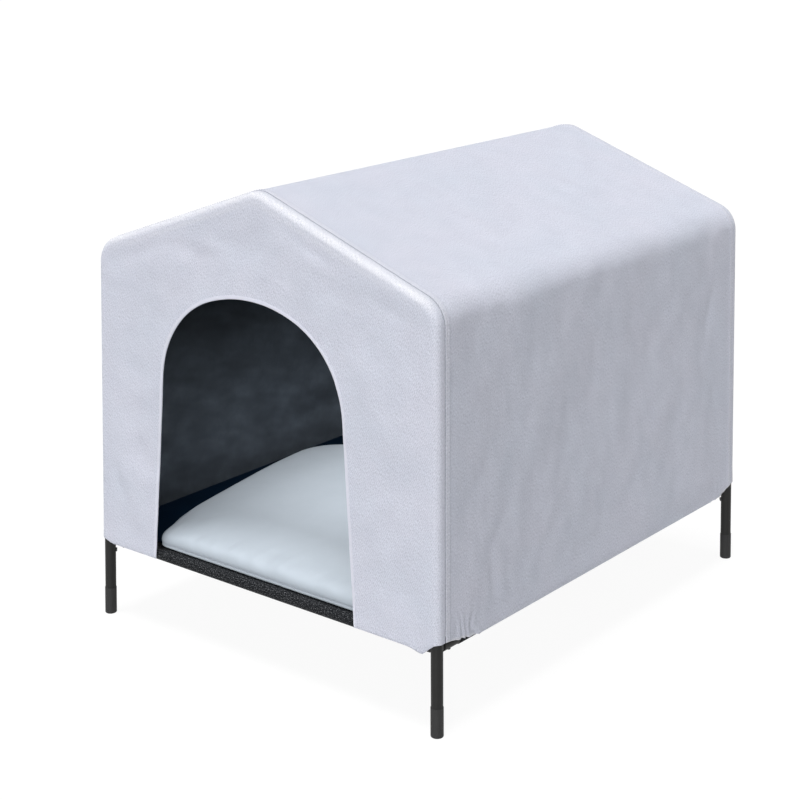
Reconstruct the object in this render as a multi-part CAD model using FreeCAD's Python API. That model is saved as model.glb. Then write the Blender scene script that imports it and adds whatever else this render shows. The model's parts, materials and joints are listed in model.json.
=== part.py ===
import FreeCAD, Part
import math
import os

Vec = FreeCAD.Vector

# Elevated dog bed with a cloth canopy. X runs across the front, the doorway
# faces -Y, Z is up, and the origin is on the floor under the middle.
# All lengths are in millimetres and all angles in degrees.

# Cloth cover, outside sizes
cover_width = 704.0
cover_length = 863.0
cover_height = 750.0
hem_height = 131.0
wall_lean = 1.76
roof_pitch = 19.75
eave_bend = 45.0
apex_bend = 50.0
cover_cloth = 1.2
seam_setback = 17.0
scallop_front_run = 28.0
scallop_side_run = 95.0
scallop_rise = 15.0

# Arched doorway in the front panel
door_width = 419.0
door_height = 589.0
door_arch_rise = 147.0
door_jamb_lean = 4.7
door_shoulder_angle = 70.0
door_shift = -13.0
binding_width = 6.0
binding_cloth = 0.8

# Steel tube frame
tube_diameter = 18.0
tube_wall = 1.2
slip_fit = 0.1
cover_gap = 0.4
rail_height = 134.7
rail_inset = 3.0
butt_gap = 0.5
socket_below = 36.0
socket_above = 48.0
socket_spigot = 28.0
rail_spigot = 32.0
neck = 4.0
post_drop = 97.0
bow_spigot = 45.0
apex_arm = 32.0
apex_spigot = 34.0

# Foot caps
cap_wall = 0.6
cap_floor = 5.0
cap_height = 46.0
cap_fit = 0.05
cap_round = 2.0

# Screws that hold the rails and the legs
screw_diameter = 3.6
screw_reach = 5.0
screw_head_diameter = 6.8
screw_head_height = 2.0
screw_fit = 0.1
rail_screw_setback = 18.0
leg_screw_drop = 22.0

# Spring buttons that lock the posts
button_diameter = 5.0
button_fit = 0.25
button_proud = 2.8
button_depth = 14.0
button_seat = 3.9
button_flange_diameter = 7.2
button_flange = 0.9
button_round = 0.8
spring_strip = 0.6
spring_width = 4.0
spring_tail = 5.0
spring_reach = 12.0
spring_gap = 0.15

# Sling between the rails
sling_cloth = 1.0
sleeve_gap = 0.2
sling_notch = 46.0

# Padded floor mat on the sling
mat_thickness = 15.0
mat_wall_gap = 8.0
mat_corner = 55.0
mat_edge = 7.0
mat_lift = 0.3
mat_front_gap = 23.0
mat_slope_run = 52.0
mat_front_thickness = 3.0

# Cushion
cushion_width = 602.0
cushion_front_width = 464.0
cushion_length = 510.0
cushion_corner = 90.0
cushion_front_gap = 21.0
cushion_crown = 27.0
cushion_edge = 18.0
cushion_side = 20.0
cushion_case_cloth = 1.0
cushion_lift = 0.4
cushion_core_gap = 0.3
cushion_crown_power = 2.6
cushion_top_bow = 1.5
cushion_stations = 5

# Worked out from the sizes above
tube_radius = tube_diameter / 2
bore_radius = tube_radius - tube_wall
spigot_radius = bore_radius - slip_fit
spigot_bore = spigot_radius - tube_wall
tube_inset = cover_cloth + cover_gap + tube_radius
lean_slope = math.tan(math.radians(wall_lean))
lean_cos = math.cos(math.radians(wall_lean))
pitch_slope = math.tan(math.radians(roof_pitch))
pitch_cos = math.cos(math.radians(roof_pitch))
roof_peak = cover_height + apex_bend * (1 / pitch_cos - 1)
rail_stop = tube_radius + rail_inset + butt_gap
socket_bottom = rail_height - socket_below
socket_top = rail_height + socket_above
sleeve_inner = tube_radius + sleeve_gap
sleeve_outer = sleeve_inner + sling_cloth
sling_top = rail_height + sleeve_outer
mat_bottom = sling_top + mat_lift
mat_top = mat_bottom + mat_thickness
far = cover_width + cover_length + cover_height

CORNERS = {
    "front_left": (-1, -1),
    "front_right": (1, -1),
    "rear_left": (-1, 1),
    "rear_right": (1, 1),
}


def rod(start, end, radius):
    """Solid round bar between two points."""
    run = end - start
    return Part.makeCylinder(radius, run.Length, start, run)


def toward(start, direction, distance):
    """Point at a distance from start along a direction."""
    step = Vec(direction)
    step.normalize()
    return start + step * distance


def round_path(points, radii):
    """Wire of straight runs with a tangent arc at each inner point."""
    edges = []
    last = points[0]
    for before, corner, after, radius in zip(points, points[1:], points[2:], radii):
        back = (before - corner).normalize()
        ahead = (after - corner).normalize()
        half = back.getAngle(ahead) / 2
        cut = radius / math.tan(half)
        middle = toward(corner, back + ahead, radius / math.sin(half) - radius)
        arc_start = corner + back * cut
        arc_end = corner + ahead * cut
        edges.append(Part.LineSegment(last, arc_start).toShape())
        edges.append(Part.Arc(arc_start, middle, arc_end).toShape())
        last = arc_end
    edges.append(Part.LineSegment(last, points[-1]).toShape())
    return Part.Wire(edges)


def swept_bar(points, radii, radius):
    """Solid round bar along a path with rounded bends."""
    path = round_path(points, radii)
    ring = Part.Wire(Part.makeCircle(radius, points[0], points[1] - points[0]))
    return path.makePipeShell([ring], True, False)


def half_width(height, inset):
    """Distance of a side wall from the middle, inset square to the wall."""
    return cover_width / 2 - lean_slope * (height - hem_height) - inset / lean_cos


def half_length(height, inset):
    """Distance of a gable wall from the middle, inset square to the wall."""
    return cover_length / 2 - lean_slope * (height - hem_height) - inset / lean_cos


def eave_corner_height(inset):
    """Height at which the inset wall plane and the inset roof plane meet."""
    peak = roof_peak - inset / pitch_cos
    wall_at_zero = cover_width / 2 + lean_slope * hem_height - inset / lean_cos
    return (peak - wall_at_zero * pitch_slope) / (1 - lean_slope * pitch_slope)


def gable_prism(inset, bottom):
    """Gable outline of the cover, inset, run far past both ends along Y."""
    eave = eave_corner_height(inset)
    peak = roof_peak - inset / pitch_cos
    outline = [
        Vec(-half_width(bottom, inset), -far, bottom),
        Vec(-half_width(eave, inset), -far, eave),
        Vec(0, -far, peak),
        Vec(half_width(eave, inset), -far, eave),
        Vec(half_width(bottom, inset), -far, bottom),
    ]
    bends = [eave_bend - inset, apex_bend - inset, eave_bend - inset]
    walls = round_path(outline, bends).Edges
    floor = Part.LineSegment(outline[-1], outline[0]).toShape()
    return Part.Face(Part.Wire(walls + [floor])).extrude(Vec(0, 2 * far, 0))


def gable_slab(inset, bottom):
    """Space between the two leaning gable planes, inset, far past both sides."""
    corners = [
        Vec(-far, -half_length(bottom, inset), bottom),
        Vec(-far, half_length(bottom, inset), bottom),
        Vec(-far, half_length(far, inset), far),
        Vec(-far, -half_length(far, inset), far),
    ]
    outline = Part.makePolygon(corners + corners[:1])
    return Part.Face(outline).extrude(Vec(2 * far, 0, 0))


def gable_edges(solid, inset, bottom):
    """Edges where the gables meet the sides and the roof."""
    found = []
    for edge in solid.Edges:
        ends = [vertex.Point for vertex in edge.Vertexes]
        on_gable = all(abs(abs(p.y) - half_length(p.z, inset)) < 0.01 for p in ends)
        same_end = ends[0].y * ends[-1].y > 0
        above = max(p.z for p in ends) > bottom + 1
        if on_gable and same_end and above:
            found.append(edge)
    return found


def cover_block(inset, bottom):
    """Whole outer form of the cover with its gable edges rounded."""
    block = gable_prism(inset, bottom).common(gable_slab(inset, bottom))
    return block.makeFillet(tube_inset - inset, gable_edges(block, inset, bottom))


def scallop_cutter(side, end):
    """Space below a slanting plane that lifts the hem over one leg."""
    corner = Vec(side * cover_width / 2, end * cover_length / 2, hem_height)
    lifted = corner + Vec(0, 0, scallop_rise)
    along_front = corner - Vec(side * scallop_front_run, 0, 0)
    along_side = corner - Vec(0, end * scallop_side_run, 0)
    middle = (along_front + along_side) * 0.5
    beyond = middle + (lifted - middle) * 2
    slope = Part.makePolygon([along_front, along_side, beyond, along_front])
    return Part.Face(slope).extrude(Vec(0, 0, -3 * scallop_rise))


def door_prism(grow):
    """Doorway outline, grown square to its edge, run through the front panel.

    Leaning jambs run into shoulder arcs, and a crown arc joins the shoulders.
    """
    lean = math.radians(door_jamb_lean)
    turn = math.radians(door_shoulder_angle)
    spring_z = door_height - door_arch_rise
    spring_x = door_width / 2 - math.tan(lean) * (spring_z - hem_height)
    run = math.cos(lean) - math.cos(turn)
    climb = math.sin(turn) - math.sin(lean)
    flat = 1 - math.sin(turn)
    scale = math.cos(turn) * climb - run * flat
    crown_radius = (spring_x * climb - run * door_arch_rise) / scale
    shoulder_radius = (math.cos(turn) * door_arch_rise - flat * spring_x) / scale
    crown_centre = Vec(0, 0, door_height - crown_radius)
    toward_shoulder = Vec(math.cos(turn), 0, math.sin(turn))
    toward_jamb = Vec(math.cos(lean), 0, math.sin(lean))
    halfway = (toward_shoulder + toward_jamb).normalize()
    centre = crown_centre + toward_shoulder * (crown_radius - shoulder_radius)
    crown = crown_centre + Vec(0, 0, crown_radius + grow)
    shoulder_top = crown_centre + toward_shoulder * (crown_radius + grow)
    shoulder_middle = centre + halfway * (shoulder_radius + grow)
    spring = centre + toward_jamb * (shoulder_radius + grow)
    foot = spring + Vec(math.sin(lean), 0, -math.cos(lean)) * spring_z
    right_side = [foot, spring, shoulder_middle, shoulder_top]
    left_side = [Vec(-point.x, 0, point.z) for point in right_side]
    outline = Part.Wire([
        Part.LineSegment(foot, spring).toShape(),
        Part.Arc(spring, shoulder_middle, shoulder_top).toShape(),
        Part.Arc(shoulder_top, crown, left_side[3]).toShape(),
        Part.Arc(left_side[3], left_side[2], left_side[1]).toShape(),
        Part.LineSegment(left_side[1], left_side[0]).toShape(),
        Part.LineSegment(left_side[0], foot).toShape(),
    ])
    outline.translate(Vec(door_shift, -far, 0))
    return Part.Face(outline).extrude(Vec(0, far, 0))


def make_cover():
    """Cover panels cut from one thin shell, with the binding of the doorway."""
    below = hem_height - 2 * scallop_rise
    shell = cover_block(0, hem_height).cut(cover_block(cover_cloth, below))
    for side, end in CORNERS.values():
        shell = shell.cut(scallop_cutter(side, end))
    middle = gable_slab(seam_setback, below)
    gables = shell.cut(middle).Solids
    front = min(gables, key=lambda solid: solid.CenterOfMass.y)
    rear = max(gables, key=lambda solid: solid.CenterOfMass.y)
    front = front.cut(door_prism(0))
    band = gable_slab(-binding_cloth, hem_height)
    band = band.cut(gable_slab(cover_cloth + binding_cloth, below))
    edge_ring = door_prism(binding_width).cut(door_prism(-binding_cloth))
    binding = edge_ring.common(band).cut(front)
    return {
        "cover_front_panel": front,
        "cover_side_and_roof_panel": shell.common(middle),
        "cover_rear_panel": rear,
        "doorway_binding": binding,
    }


def corner_point(side, end, height):
    """Point on the axis of one corner's leg, socket and post."""
    x = side * half_width(height, tube_inset)
    y = end * half_length(height, tube_inset)
    return Vec(x, y, height)


def corner_up(side, end):
    """Direction of one corner's leg and post."""
    return (corner_point(side, end, far) - corner_point(side, end, 0)).normalize()


def corner_inward(side, end):
    """Direction square to one corner's axis, into the cabin on the diagonal."""
    up = corner_up(side, end)
    across = up.cross(Vec(-side, -end, 0))
    return across.cross(up).normalize()


def screw(seat, inward):
    """Pan-head screw with its head's flat at the seat, driven inward."""
    shank = rod(seat, toward(seat, inward, screw_reach), screw_diameter / 2)
    head = rod(toward(seat, inward, -screw_head_height), seat, screw_head_diameter / 2)
    return head.fuse(shank).removeSplitter()


def screw_hole(seat, inward):
    """Clearance hole for one screw, from just outside its seat."""
    start = toward(seat, inward, -screw_head_height)
    return rod(start, toward(seat, inward, screw_reach), screw_diameter / 2 + screw_fit)


def leg_screw_place(side, end):
    """Seat and direction of the screw that holds one leg in its socket."""
    inward = corner_inward(side, end)
    axis = corner_point(side, end, rail_height - leg_screw_drop)
    return toward(axis, inward, tube_radius), inward * -1


def rail_frame():
    """Axis start and end of each rail, between the corner sockets."""
    x = half_width(rail_height, tube_inset)
    y = half_length(rail_height, tube_inset)
    end_x = x - rail_stop
    end_y = y - rail_stop
    line_x = x - rail_inset
    line_y = y - rail_inset
    z = rail_height
    return {
        "front_rail": (Vec(-end_x, -line_y, z), Vec(end_x, -line_y, z)),
        "rear_rail": (Vec(-end_x, line_y, z), Vec(end_x, line_y, z)),
        "left_rail": (Vec(-line_x, -end_y, z), Vec(-line_x, end_y, z)),
        "right_rail": (Vec(line_x, -end_y, z), Vec(line_x, end_y, z)),
    }


def rail_screw_places():
    """Seats of the screws under the rail ends, by rail."""
    places = {}
    for name, (start, end) in rail_frame().items():
        down = Vec(0, 0, -tube_radius)
        near = toward(start, end - start, rail_screw_setback) + down
        away = toward(end, start - end, rail_screw_setback) + down
        places[name] = [near, away]
    return places


def button_axis(side, end):
    """Point on the corner's axis beside one spring button."""
    return corner_point(side, end, socket_top - button_depth)


def button_hole(side, end):
    """Hole through socket and post for one spring button."""
    centre = button_axis(side, end)
    tip = toward(centre, corner_inward(side, end), 2 * tube_radius)
    return rod(centre, tip, button_diameter / 2 + button_fit)


def make_leg(side, end):
    """Leg tube with a reduced top end that goes up into the corner socket."""
    foot = corner_point(side, end, cap_floor)
    shoulder = corner_point(side, end, socket_bottom)
    up = corner_up(side, end)
    tip = toward(shoulder, up, socket_spigot)
    leg = rod(foot, shoulder, tube_radius).fuse(rod(shoulder, tip, spigot_radius))
    leg = leg.cut(rod(foot, tip, spigot_bore))
    leg = leg.cut(rod(foot, toward(shoulder, up, -neck), bore_radius))
    return leg.cut(screw_hole(*leg_screw_place(side, end))).removeSplitter()


def make_foot_cap(side, end):
    """Cup over the leg's end, cut flat where it stands on the floor."""
    seat = corner_point(side, end, cap_floor)
    up = corner_up(side, end)
    cup_radius = tube_radius + cap_fit + cap_wall
    low = toward(seat, up, -2 * cap_floor)
    top = toward(seat, up, cap_height - cap_floor)
    cup = rod(low, top, cup_radius).cut(rod(seat, top, tube_radius + cap_fit))
    ground = Part.makeBox(far, far, far, Vec(-far / 2, -far / 2, -far))
    ground.translate(Vec(seat.x, seat.y, 0))
    cup = cup.cut(ground)
    sole = [edge for edge in cup.Edges if abs(edge.BoundBox.ZMax) < 0.01]
    return cup.makeFillet(cap_round, sole)


def make_corner_bracket(side, end):
    """Upright socket with a spigot for each of the two rails that meet there."""
    low = corner_point(side, end, socket_bottom)
    high = corner_point(side, end, socket_top)
    middle = corner_point(side, end, rail_height)
    arm = rail_stop + rail_spigot
    across = middle - Vec(0, end * rail_inset, 0)
    across_tip = across - Vec(side * arm, 0, 0)
    along = middle - Vec(side * rail_inset, 0, 0)
    along_tip = along - Vec(0, end * arm, 0)
    bracket = rod(low, high, tube_radius)
    bracket = bracket.fuse(rod(across, across_tip, spigot_radius))
    bracket = bracket.fuse(rod(along, along_tip, spigot_radius))
    bracket = bracket.cut(rod(across, across_tip, spigot_bore))
    bracket = bracket.cut(rod(along, along_tip, spigot_bore))
    bracket = bracket.cut(rod(low, high, bore_radius))
    bracket = bracket.cut(screw_hole(*leg_screw_place(side, end)))
    bracket = bracket.cut(button_hole(side, end))
    for seats in rail_screw_places().values():
        for seat in seats:
            bracket = bracket.cut(screw_hole(seat, Vec(0, 0, 1)))
    return bracket


def make_rail(name):
    """Rail tube that slides over the spigots of two corner brackets."""
    start, end = rail_frame()[name]
    rail = rod(start, end, tube_radius).cut(rod(start, end, bore_radius))
    for seat in rail_screw_places()[name]:
        rail = rail.cut(screw_hole(seat, Vec(0, 0, 1)))
    return rail


def post_top(side, end):
    """Point on the corner's axis where the post ends, below the eave."""
    return corner_point(side, end, eave_corner_height(tube_inset) - post_drop)


def make_post(side, end):
    """Leaning post whose reduced lower end stands in the corner socket."""
    shoulder = corner_point(side, end, socket_top)
    top = post_top(side, end)
    up = corner_up(side, end)
    tip = toward(shoulder, up, -socket_spigot)
    post = rod(shoulder, top, tube_radius).fuse(rod(tip, shoulder, spigot_radius))
    post = post.cut(rod(tip, top, spigot_bore))
    post = post.cut(rod(toward(shoulder, up, neck), top, bore_radius))
    return post.cut(button_hole(side, end)).removeSplitter()


def roof_points(side, end):
    """Post top, eave corner and peak of one bow's axis."""
    eave = eave_corner_height(tube_inset)
    peak = roof_peak - tube_inset / pitch_cos
    peak_point = Vec(0, end * half_length(peak, tube_inset), peak)
    return post_top(side, end), corner_point(side, end, eave), peak_point


def make_bow(side, end):
    """Tube bent at the eave, from the post's top up to the apex joint."""
    start, eave, peak = roof_points(side, end)
    up = corner_up(side, end)
    stop = toward(peak, eave - peak, apex_arm)
    bend = [eave_bend - tube_inset]
    tip = toward(start, up, -bow_spigot)
    bow = swept_bar([start, eave, stop], bend, tube_radius)
    bow = bow.fuse(rod(tip, start, spigot_radius))
    bow = bow.cut(swept_bar([toward(start, up, neck), eave, stop], bend, bore_radius))
    return bow.cut(rod(tip, toward(start, up, 2 * neck), spigot_bore)).removeSplitter()


def apex_top(end):
    """Point at the middle of the apex joint's bend."""
    start, eave, peak = roof_points(1, end)
    bend = apex_bend - tube_inset
    height = peak.z - bend * (1 / pitch_cos - 1)
    return Vec(0, end * half_length(height, tube_inset), height)


def make_apex_joint(end):
    """Bent joint that plugs into two bows and carries the ridge pole."""
    start, right_eave, peak = roof_points(1, end)
    start, left_eave, peak = roof_points(-1, end)
    right = toward(peak, right_eave - peak, apex_arm)
    left = toward(peak, left_eave - peak, apex_arm)
    joint = swept_bar([left, peak, right], [apex_bend - tube_inset], tube_radius)
    for arm in (left, right):
        joint = joint.fuse(rod(arm, toward(arm, arm - peak, apex_spigot), spigot_radius))
    middle = apex_top(end)
    tip = middle - Vec(0, end * (tube_radius + butt_gap + apex_spigot), 0)
    return joint.fuse(rod(middle, tip, spigot_radius)).removeSplitter()


def make_ridge_pole():
    """Tube along the ridge between the two apex joints."""
    clear = Vec(0, tube_radius + butt_gap, 0)
    start = apex_top(-1) + clear
    end = apex_top(1) - clear
    return rod(start, end, tube_radius).cut(rod(start, end, bore_radius))


def make_screws():
    """All rail and leg screws, as separate solids of one group."""
    screws = [screw(*leg_screw_place(side, end)) for side, end in CORNERS.values()]
    for seats in rail_screw_places().values():
        screws += [screw(seat, Vec(0, 0, 1)) for seat in seats]
    return Part.makeCompound(screws)


def make_button(side, end):
    """Round-nosed button with a flange inside the post."""
    centre = button_axis(side, end)
    inward = corner_inward(side, end)
    seat = toward(centre, inward, button_seat)
    nose = toward(centre, inward, tube_radius + button_proud)
    flange = rod(seat, toward(seat, inward, button_flange), button_flange_diameter / 2)
    button = flange.fuse(rod(seat, nose, button_diameter / 2)).removeSplitter()
    rim = [edge for edge in button.Edges
           if all(abs((v.Point - nose).dot(inward)) < 0.01 for v in edge.Vertexes)]
    return button.makeFillet(button_round, rim)


def make_button_spring(side, end):
    """Bent leaf spring in the post that pushes one button out."""
    front = button_seat - spring_gap
    back = math.sqrt((spigot_bore - spring_gap) ** 2 - (spring_width / 2) ** 2)
    bend = (front + back) / 2
    middle = (front - back) / 2
    half = spring_width / 2
    strip = Vec(0, spring_width, 0)
    pieces = []
    for radius in (bend, bend - spring_strip):
        low = Vec(middle - radius, -half, -spring_tail)
        high = Vec(middle + radius, -half, -spring_tail)
        left = Vec(middle - radius, -half, spring_reach)
        right = Vec(middle + radius, -half, spring_reach)
        crest = Vec(middle, -half, spring_reach + radius)
        outline = Part.Wire([
            Part.LineSegment(low, left).toShape(),
            Part.Arc(left, crest, right).toShape(),
            Part.LineSegment(right, high).toShape(),
            Part.LineSegment(high, low).toShape(),
        ])
        pieces.append(Part.Face(outline).extrude(strip))
    spring = pieces[0].cut(pieces[1])
    up = corner_up(side, end)
    inward = corner_inward(side, end)
    turn = FreeCAD.Rotation(inward, up.cross(inward), up, "ZXY")
    spring.Placement = FreeCAD.Placement(button_axis(side, end), turn)
    return spring


def make_sling():
    """Cloth deck with a sleeve round each rail and open corners."""
    rails = rail_frame()
    x = rails["right_rail"][0].x
    y = rails["rear_rail"][0].y
    deck = Part.makeBox(2 * x, 2 * y, sling_cloth, Vec(-x, -y, sling_top - sling_cloth))
    sling = deck
    for start, end in rails.values():
        first = toward(start, end - start, sling_notch - rail_stop)
        last = toward(end, start - end, sling_notch - rail_stop)
        sling = sling.fuse(rod(first, last, sleeve_outer))
    for start, end in rails.values():
        sling = sling.cut(rod(start, end, sleeve_inner))
    for side, end in CORNERS.values():
        corner = Vec(side * x, end * y, sling_top)
        block = Part.makeBox(2 * sling_notch, 2 * sling_notch, 4 * sleeve_outer)
        block.translate(corner - Vec(sling_notch, sling_notch, 3 * sleeve_outer))
        sling = sling.cut(block)
    return sling.removeSplitter()


def rounded_plate(x, front, rear, corner, bottom, height):
    """Flat plate with rounded corners."""
    start = Vec(0, front, bottom)
    outline = round_path([
        start, Vec(x, front, bottom), Vec(x, rear, bottom),
        Vec(-x, rear, bottom), Vec(-x, front, bottom), start,
    ], [corner] * 4)
    return Part.Face(outline).extrude(Vec(0, 0, height))


def mat_front():
    """Front end of the floor mat."""
    return -half_length(mat_bottom, 0) + mat_front_gap


def make_floor_mat():
    """Padded mat on the sling, sloped down to the front rail."""
    x = half_width(mat_top, mat_wall_gap)
    rear = half_length(mat_top, mat_wall_gap)
    front = mat_front()
    mat = rounded_plate(x, front, rear, mat_corner, mat_bottom, mat_thickness)
    mat = mat.makeFillet(mat_edge, [e for e in mat.Edges if e.BoundBox.ZMin > mat_top - 0.01])
    low = mat_bottom + mat_front_thickness
    wedge = Part.makePolygon([
        Vec(-far, front, low), Vec(-far, front + mat_slope_run, mat_top),
        Vec(-far, front + mat_slope_run, far), Vec(-far, front - mat_slope_run, far),
        Vec(-far, front - mat_slope_run, low), Vec(-far, front, low),
    ])
    return mat.cut(Part.Face(wedge).extrude(Vec(2 * far, 0, 0)))


def cushion_floor(y):
    """Height of the cushion's underside, which follows the floor mat."""
    front = mat_front()
    share = min(1.0, max(0.0, (y - front) / mat_slope_run))
    fall = mat_thickness - mat_front_thickness
    return mat_top - fall * (1 - share) + cushion_lift


def cushion_front():
    """Place of the cushion's front edge along Y."""
    return -half_length(mat_top, 0) + cushion_front_gap


def cushion_corner_start():
    """Place along Y where the rear corners begin to round."""
    return cushion_front() + cushion_length - cushion_corner


def cushion_half_width(y):
    """Half of the cushion's width: least at the front, rounded at the rear corners."""
    straight = cushion_corner_start() - cushion_front()
    share = min(1.0, (y - cushion_front()) / straight)
    half = (cushion_front_width + (cushion_width - cushion_front_width) * share) / 2
    past = min(cushion_corner, max(0.0, y - cushion_corner_start()))
    return half - cushion_corner + math.sqrt(cushion_corner ** 2 - past ** 2)


def cushion_section(y, shrink):
    """Closed outline of the cushion across X at one place along its length."""
    centre = cushion_front() + cushion_length / 2
    share = abs(y - centre) / (cushion_length / 2)
    half = cushion_half_width(y) - shrink
    swell = 1 - share ** cushion_crown_power
    crown = cushion_edge + (cushion_crown - cushion_edge) * swell
    side = cushion_edge + (cushion_side - cushion_edge) * swell
    floor = cushion_floor(y) + shrink
    shoulder = floor + side - 2 * shrink
    top = floor + crown - 2 * shrink
    tuck = half - side / 2
    low_right = Vec(tuck, y, floor)
    high_right = Vec(tuck, y, shoulder)
    low_left = Vec(-tuck, y, floor)
    high_left = Vec(-tuck, y, shoulder)
    middle = (floor + shoulder) / 2
    crest = Vec(0, y, top + cushion_top_bow)
    return Part.Wire([
        Part.LineSegment(low_left, low_right).toShape(),
        Part.Arc(low_right, Vec(half, y, middle), high_right).toShape(),
        Part.Arc(high_right, crest, high_left).toShape(),
        Part.Arc(high_left, Vec(-half, y, middle), low_left).toShape(),
    ])


def cushion_form(shrink):
    """Crowned cushion, lofted through sections from front to rear."""
    front = cushion_front() + shrink
    rear = cushion_front() + cushion_length - shrink
    slope_end = mat_front() + mat_slope_run
    corner = cushion_corner_start()
    places = [front, (front + slope_end) / 2, slope_end, (slope_end + corner) / 2, corner]
    for step in range(1, cushion_stations + 1):
        share = math.sin(math.pi / 2 * step / cushion_stations)
        places.append(corner + (rear - corner) * share)
    sections = [cushion_section(y, shrink) for y in places]
    return Part.makeLoft(sections, True, True)


def make_cushion():
    """Cloth case and the filling inside it."""
    case = cushion_form(0).cut(cushion_form(cushion_case_cloth))
    core = cushion_form(cushion_case_cloth + cushion_core_gap)
    return {"cushion_case": case, "cushion_core": core}


def make_parts():
    """All named pieces of the bed."""
    parts = {}
    for place, (side, end) in CORNERS.items():
        parts["leg_" + place] = make_leg(side, end)
        parts["foot_cap_" + place] = make_foot_cap(side, end)
        parts["corner_bracket_" + place] = make_corner_bracket(side, end)
        parts["post_" + place] = make_post(side, end)
        parts["bow_" + place] = make_bow(side, end)
        parts["post_button_" + place] = make_button(side, end)
        parts["button_spring_" + place] = make_button_spring(side, end)
    for name in rail_frame():
        parts[name] = make_rail(name)
    parts["front_apex_joint"] = make_apex_joint(-1)
    parts["rear_apex_joint"] = make_apex_joint(1)
    parts["ridge_pole"] = make_ridge_pole()
    parts["frame_screws"] = make_screws()
    parts["bed_sling"] = make_sling()
    parts["floor_mat"] = make_floor_mat()
    parts.update(make_cushion())
    parts.update(make_cover())
    return parts


os.makedirs("parts", exist_ok=True)
for node, shape in make_parts().items():
    shape.exportStep("parts/" + node + ".step")
    print(node, "valid", shape.isValid(), "solids", len(shape.Solids), "volume", round(shape.Volume))
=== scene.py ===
import json
import math

import bpy
import numpy as np
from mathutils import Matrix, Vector, noise


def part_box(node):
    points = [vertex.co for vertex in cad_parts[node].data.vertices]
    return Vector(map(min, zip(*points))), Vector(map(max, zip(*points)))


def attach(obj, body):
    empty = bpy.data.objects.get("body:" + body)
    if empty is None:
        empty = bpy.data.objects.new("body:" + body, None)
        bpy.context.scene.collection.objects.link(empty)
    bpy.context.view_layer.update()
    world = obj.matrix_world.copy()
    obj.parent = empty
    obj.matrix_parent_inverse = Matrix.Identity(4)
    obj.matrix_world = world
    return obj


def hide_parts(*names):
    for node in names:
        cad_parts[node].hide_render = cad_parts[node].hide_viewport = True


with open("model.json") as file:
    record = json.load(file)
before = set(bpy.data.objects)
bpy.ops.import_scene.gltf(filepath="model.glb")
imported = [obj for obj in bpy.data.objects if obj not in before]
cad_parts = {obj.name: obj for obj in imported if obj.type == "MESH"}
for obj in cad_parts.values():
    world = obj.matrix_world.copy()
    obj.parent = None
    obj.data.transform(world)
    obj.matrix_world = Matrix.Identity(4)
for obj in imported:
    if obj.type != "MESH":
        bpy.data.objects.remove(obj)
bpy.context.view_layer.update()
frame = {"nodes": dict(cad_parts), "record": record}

# Elevated dog bed with a cloth canopy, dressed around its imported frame.
# Metres, X across the front, the doorway faces -Y, Z up, origin on the floor.

# Camera at the photograph's place: degrees, and millimetres for the lens
CAMERA_PLACE = (1.7166, -2.2081, 1.2224)
CAMERA_TURN = (72.393, 0.175, 38.827)
CAMERA_LENS = 78.48
CAMERA_SENSOR = 36.0

# Suns: where each stands, its strength and its width in degrees
OVERHEAD = ((-0.02, -0.14, 0.98), 0.93, 20)
CAMERA_FILL = ((0.36, -0.905, 0.12), 0.545, 30)
SURROUNDINGS = 0.22

# Soft panel of light under the ridge, across and along
CABIN_LIGHT = (0.50, 0.74)
CABIN_LIGHT_DROP = 0.16
CABIN_LIGHT_POWER = 1.85
CABIN_LIGHT_SPREAD = math.radians(95)

# Floor: its white as the camera sees it, and the share of that over its shaded self
FLOOR_REACH = 40.0
FLOOR_WHITE = 1.08
FLOOR_WHITE_SHARE = 0.87

# Cover, with its outside sizes read from the frame
side_low, side_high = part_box("cover_side_and_roof_panel")
front_low, front_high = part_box("cover_front_panel")
HALF_WIDTH = side_high.x
HALF_LENGTH = -front_low.y
HEM = side_low.z
RIDGE = side_high.z
LEAN = math.radians(1.76)
PITCH = math.radians(19.75)
LEAN_SLOPE = math.tan(LEAN)
EAVE_BEND = 0.045
APEX_BEND = 0.050
ARC_STEP = math.radians(1.5)
GABLE_EDGE = 0.0106
SEAM_SETBACK = 0.017
CLOTH = 0.0012

# Doorway
DOOR_WIDTH = 0.419
DOOR_HEIGHT = 0.589
DOOR_ARCH_RISE = 0.147
DOOR_JAMB_LEAN = math.radians(4.7)
DOOR_SHOULDER = math.radians(70.0)
DOOR_SHIFT = -0.013

# Sewn edges: how far they stand proud, and where their stitches run
SEAM_RAISE = 0.0008
SEAM_TUCK = 0.0004
SEAM_STITCHES = (0.0022, 0.0075)
SEAM_STOPS = (0, 0.0008, SEAM_STITCHES[0], 0.0045, SEAM_STITCHES[1], 0.0085, 0.012)
SEAM_HEIGHTS = (0.1, 0.8, 0.6, 1.0, 0.6, 0.8, 0)
SEAM_STEPS = (0.001, 0.002, 0.003, 0.003, 0.002, 0.002)
HEM_STITCH = 0.012
HEM_RAISE = 0.0004
HEM_STOPS = (0, 0.004, 0.009, HEM_STITCH, 0.015, 0.018)
HEM_HEIGHTS = (0.7, 1.2, 1.1, 0.95, 0.8, 0)
STITCH_PITCH = 0.0050
STITCH_LENGTH = 0.0037
STITCH_RADIUS = 0.00060
HEM_STITCH_RADIUS = 0.0002

# One stitch's corners: lengths along the line, radii across it and radii out of the cloth
STITCH_CORNERS = np.array([
    (-0.5, 0, -1), (-0.28, 1, 0.5), (-0.28, 0, 1.5), (-0.28, -1, 0.5), (-0.28, 0, -0.5),
    (0.28, 1, 0.5), (0.28, 0, 1.5), (0.28, -1, 0.5), (0.28, 0, -0.5), (0.5, 0, -1),
])

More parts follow.
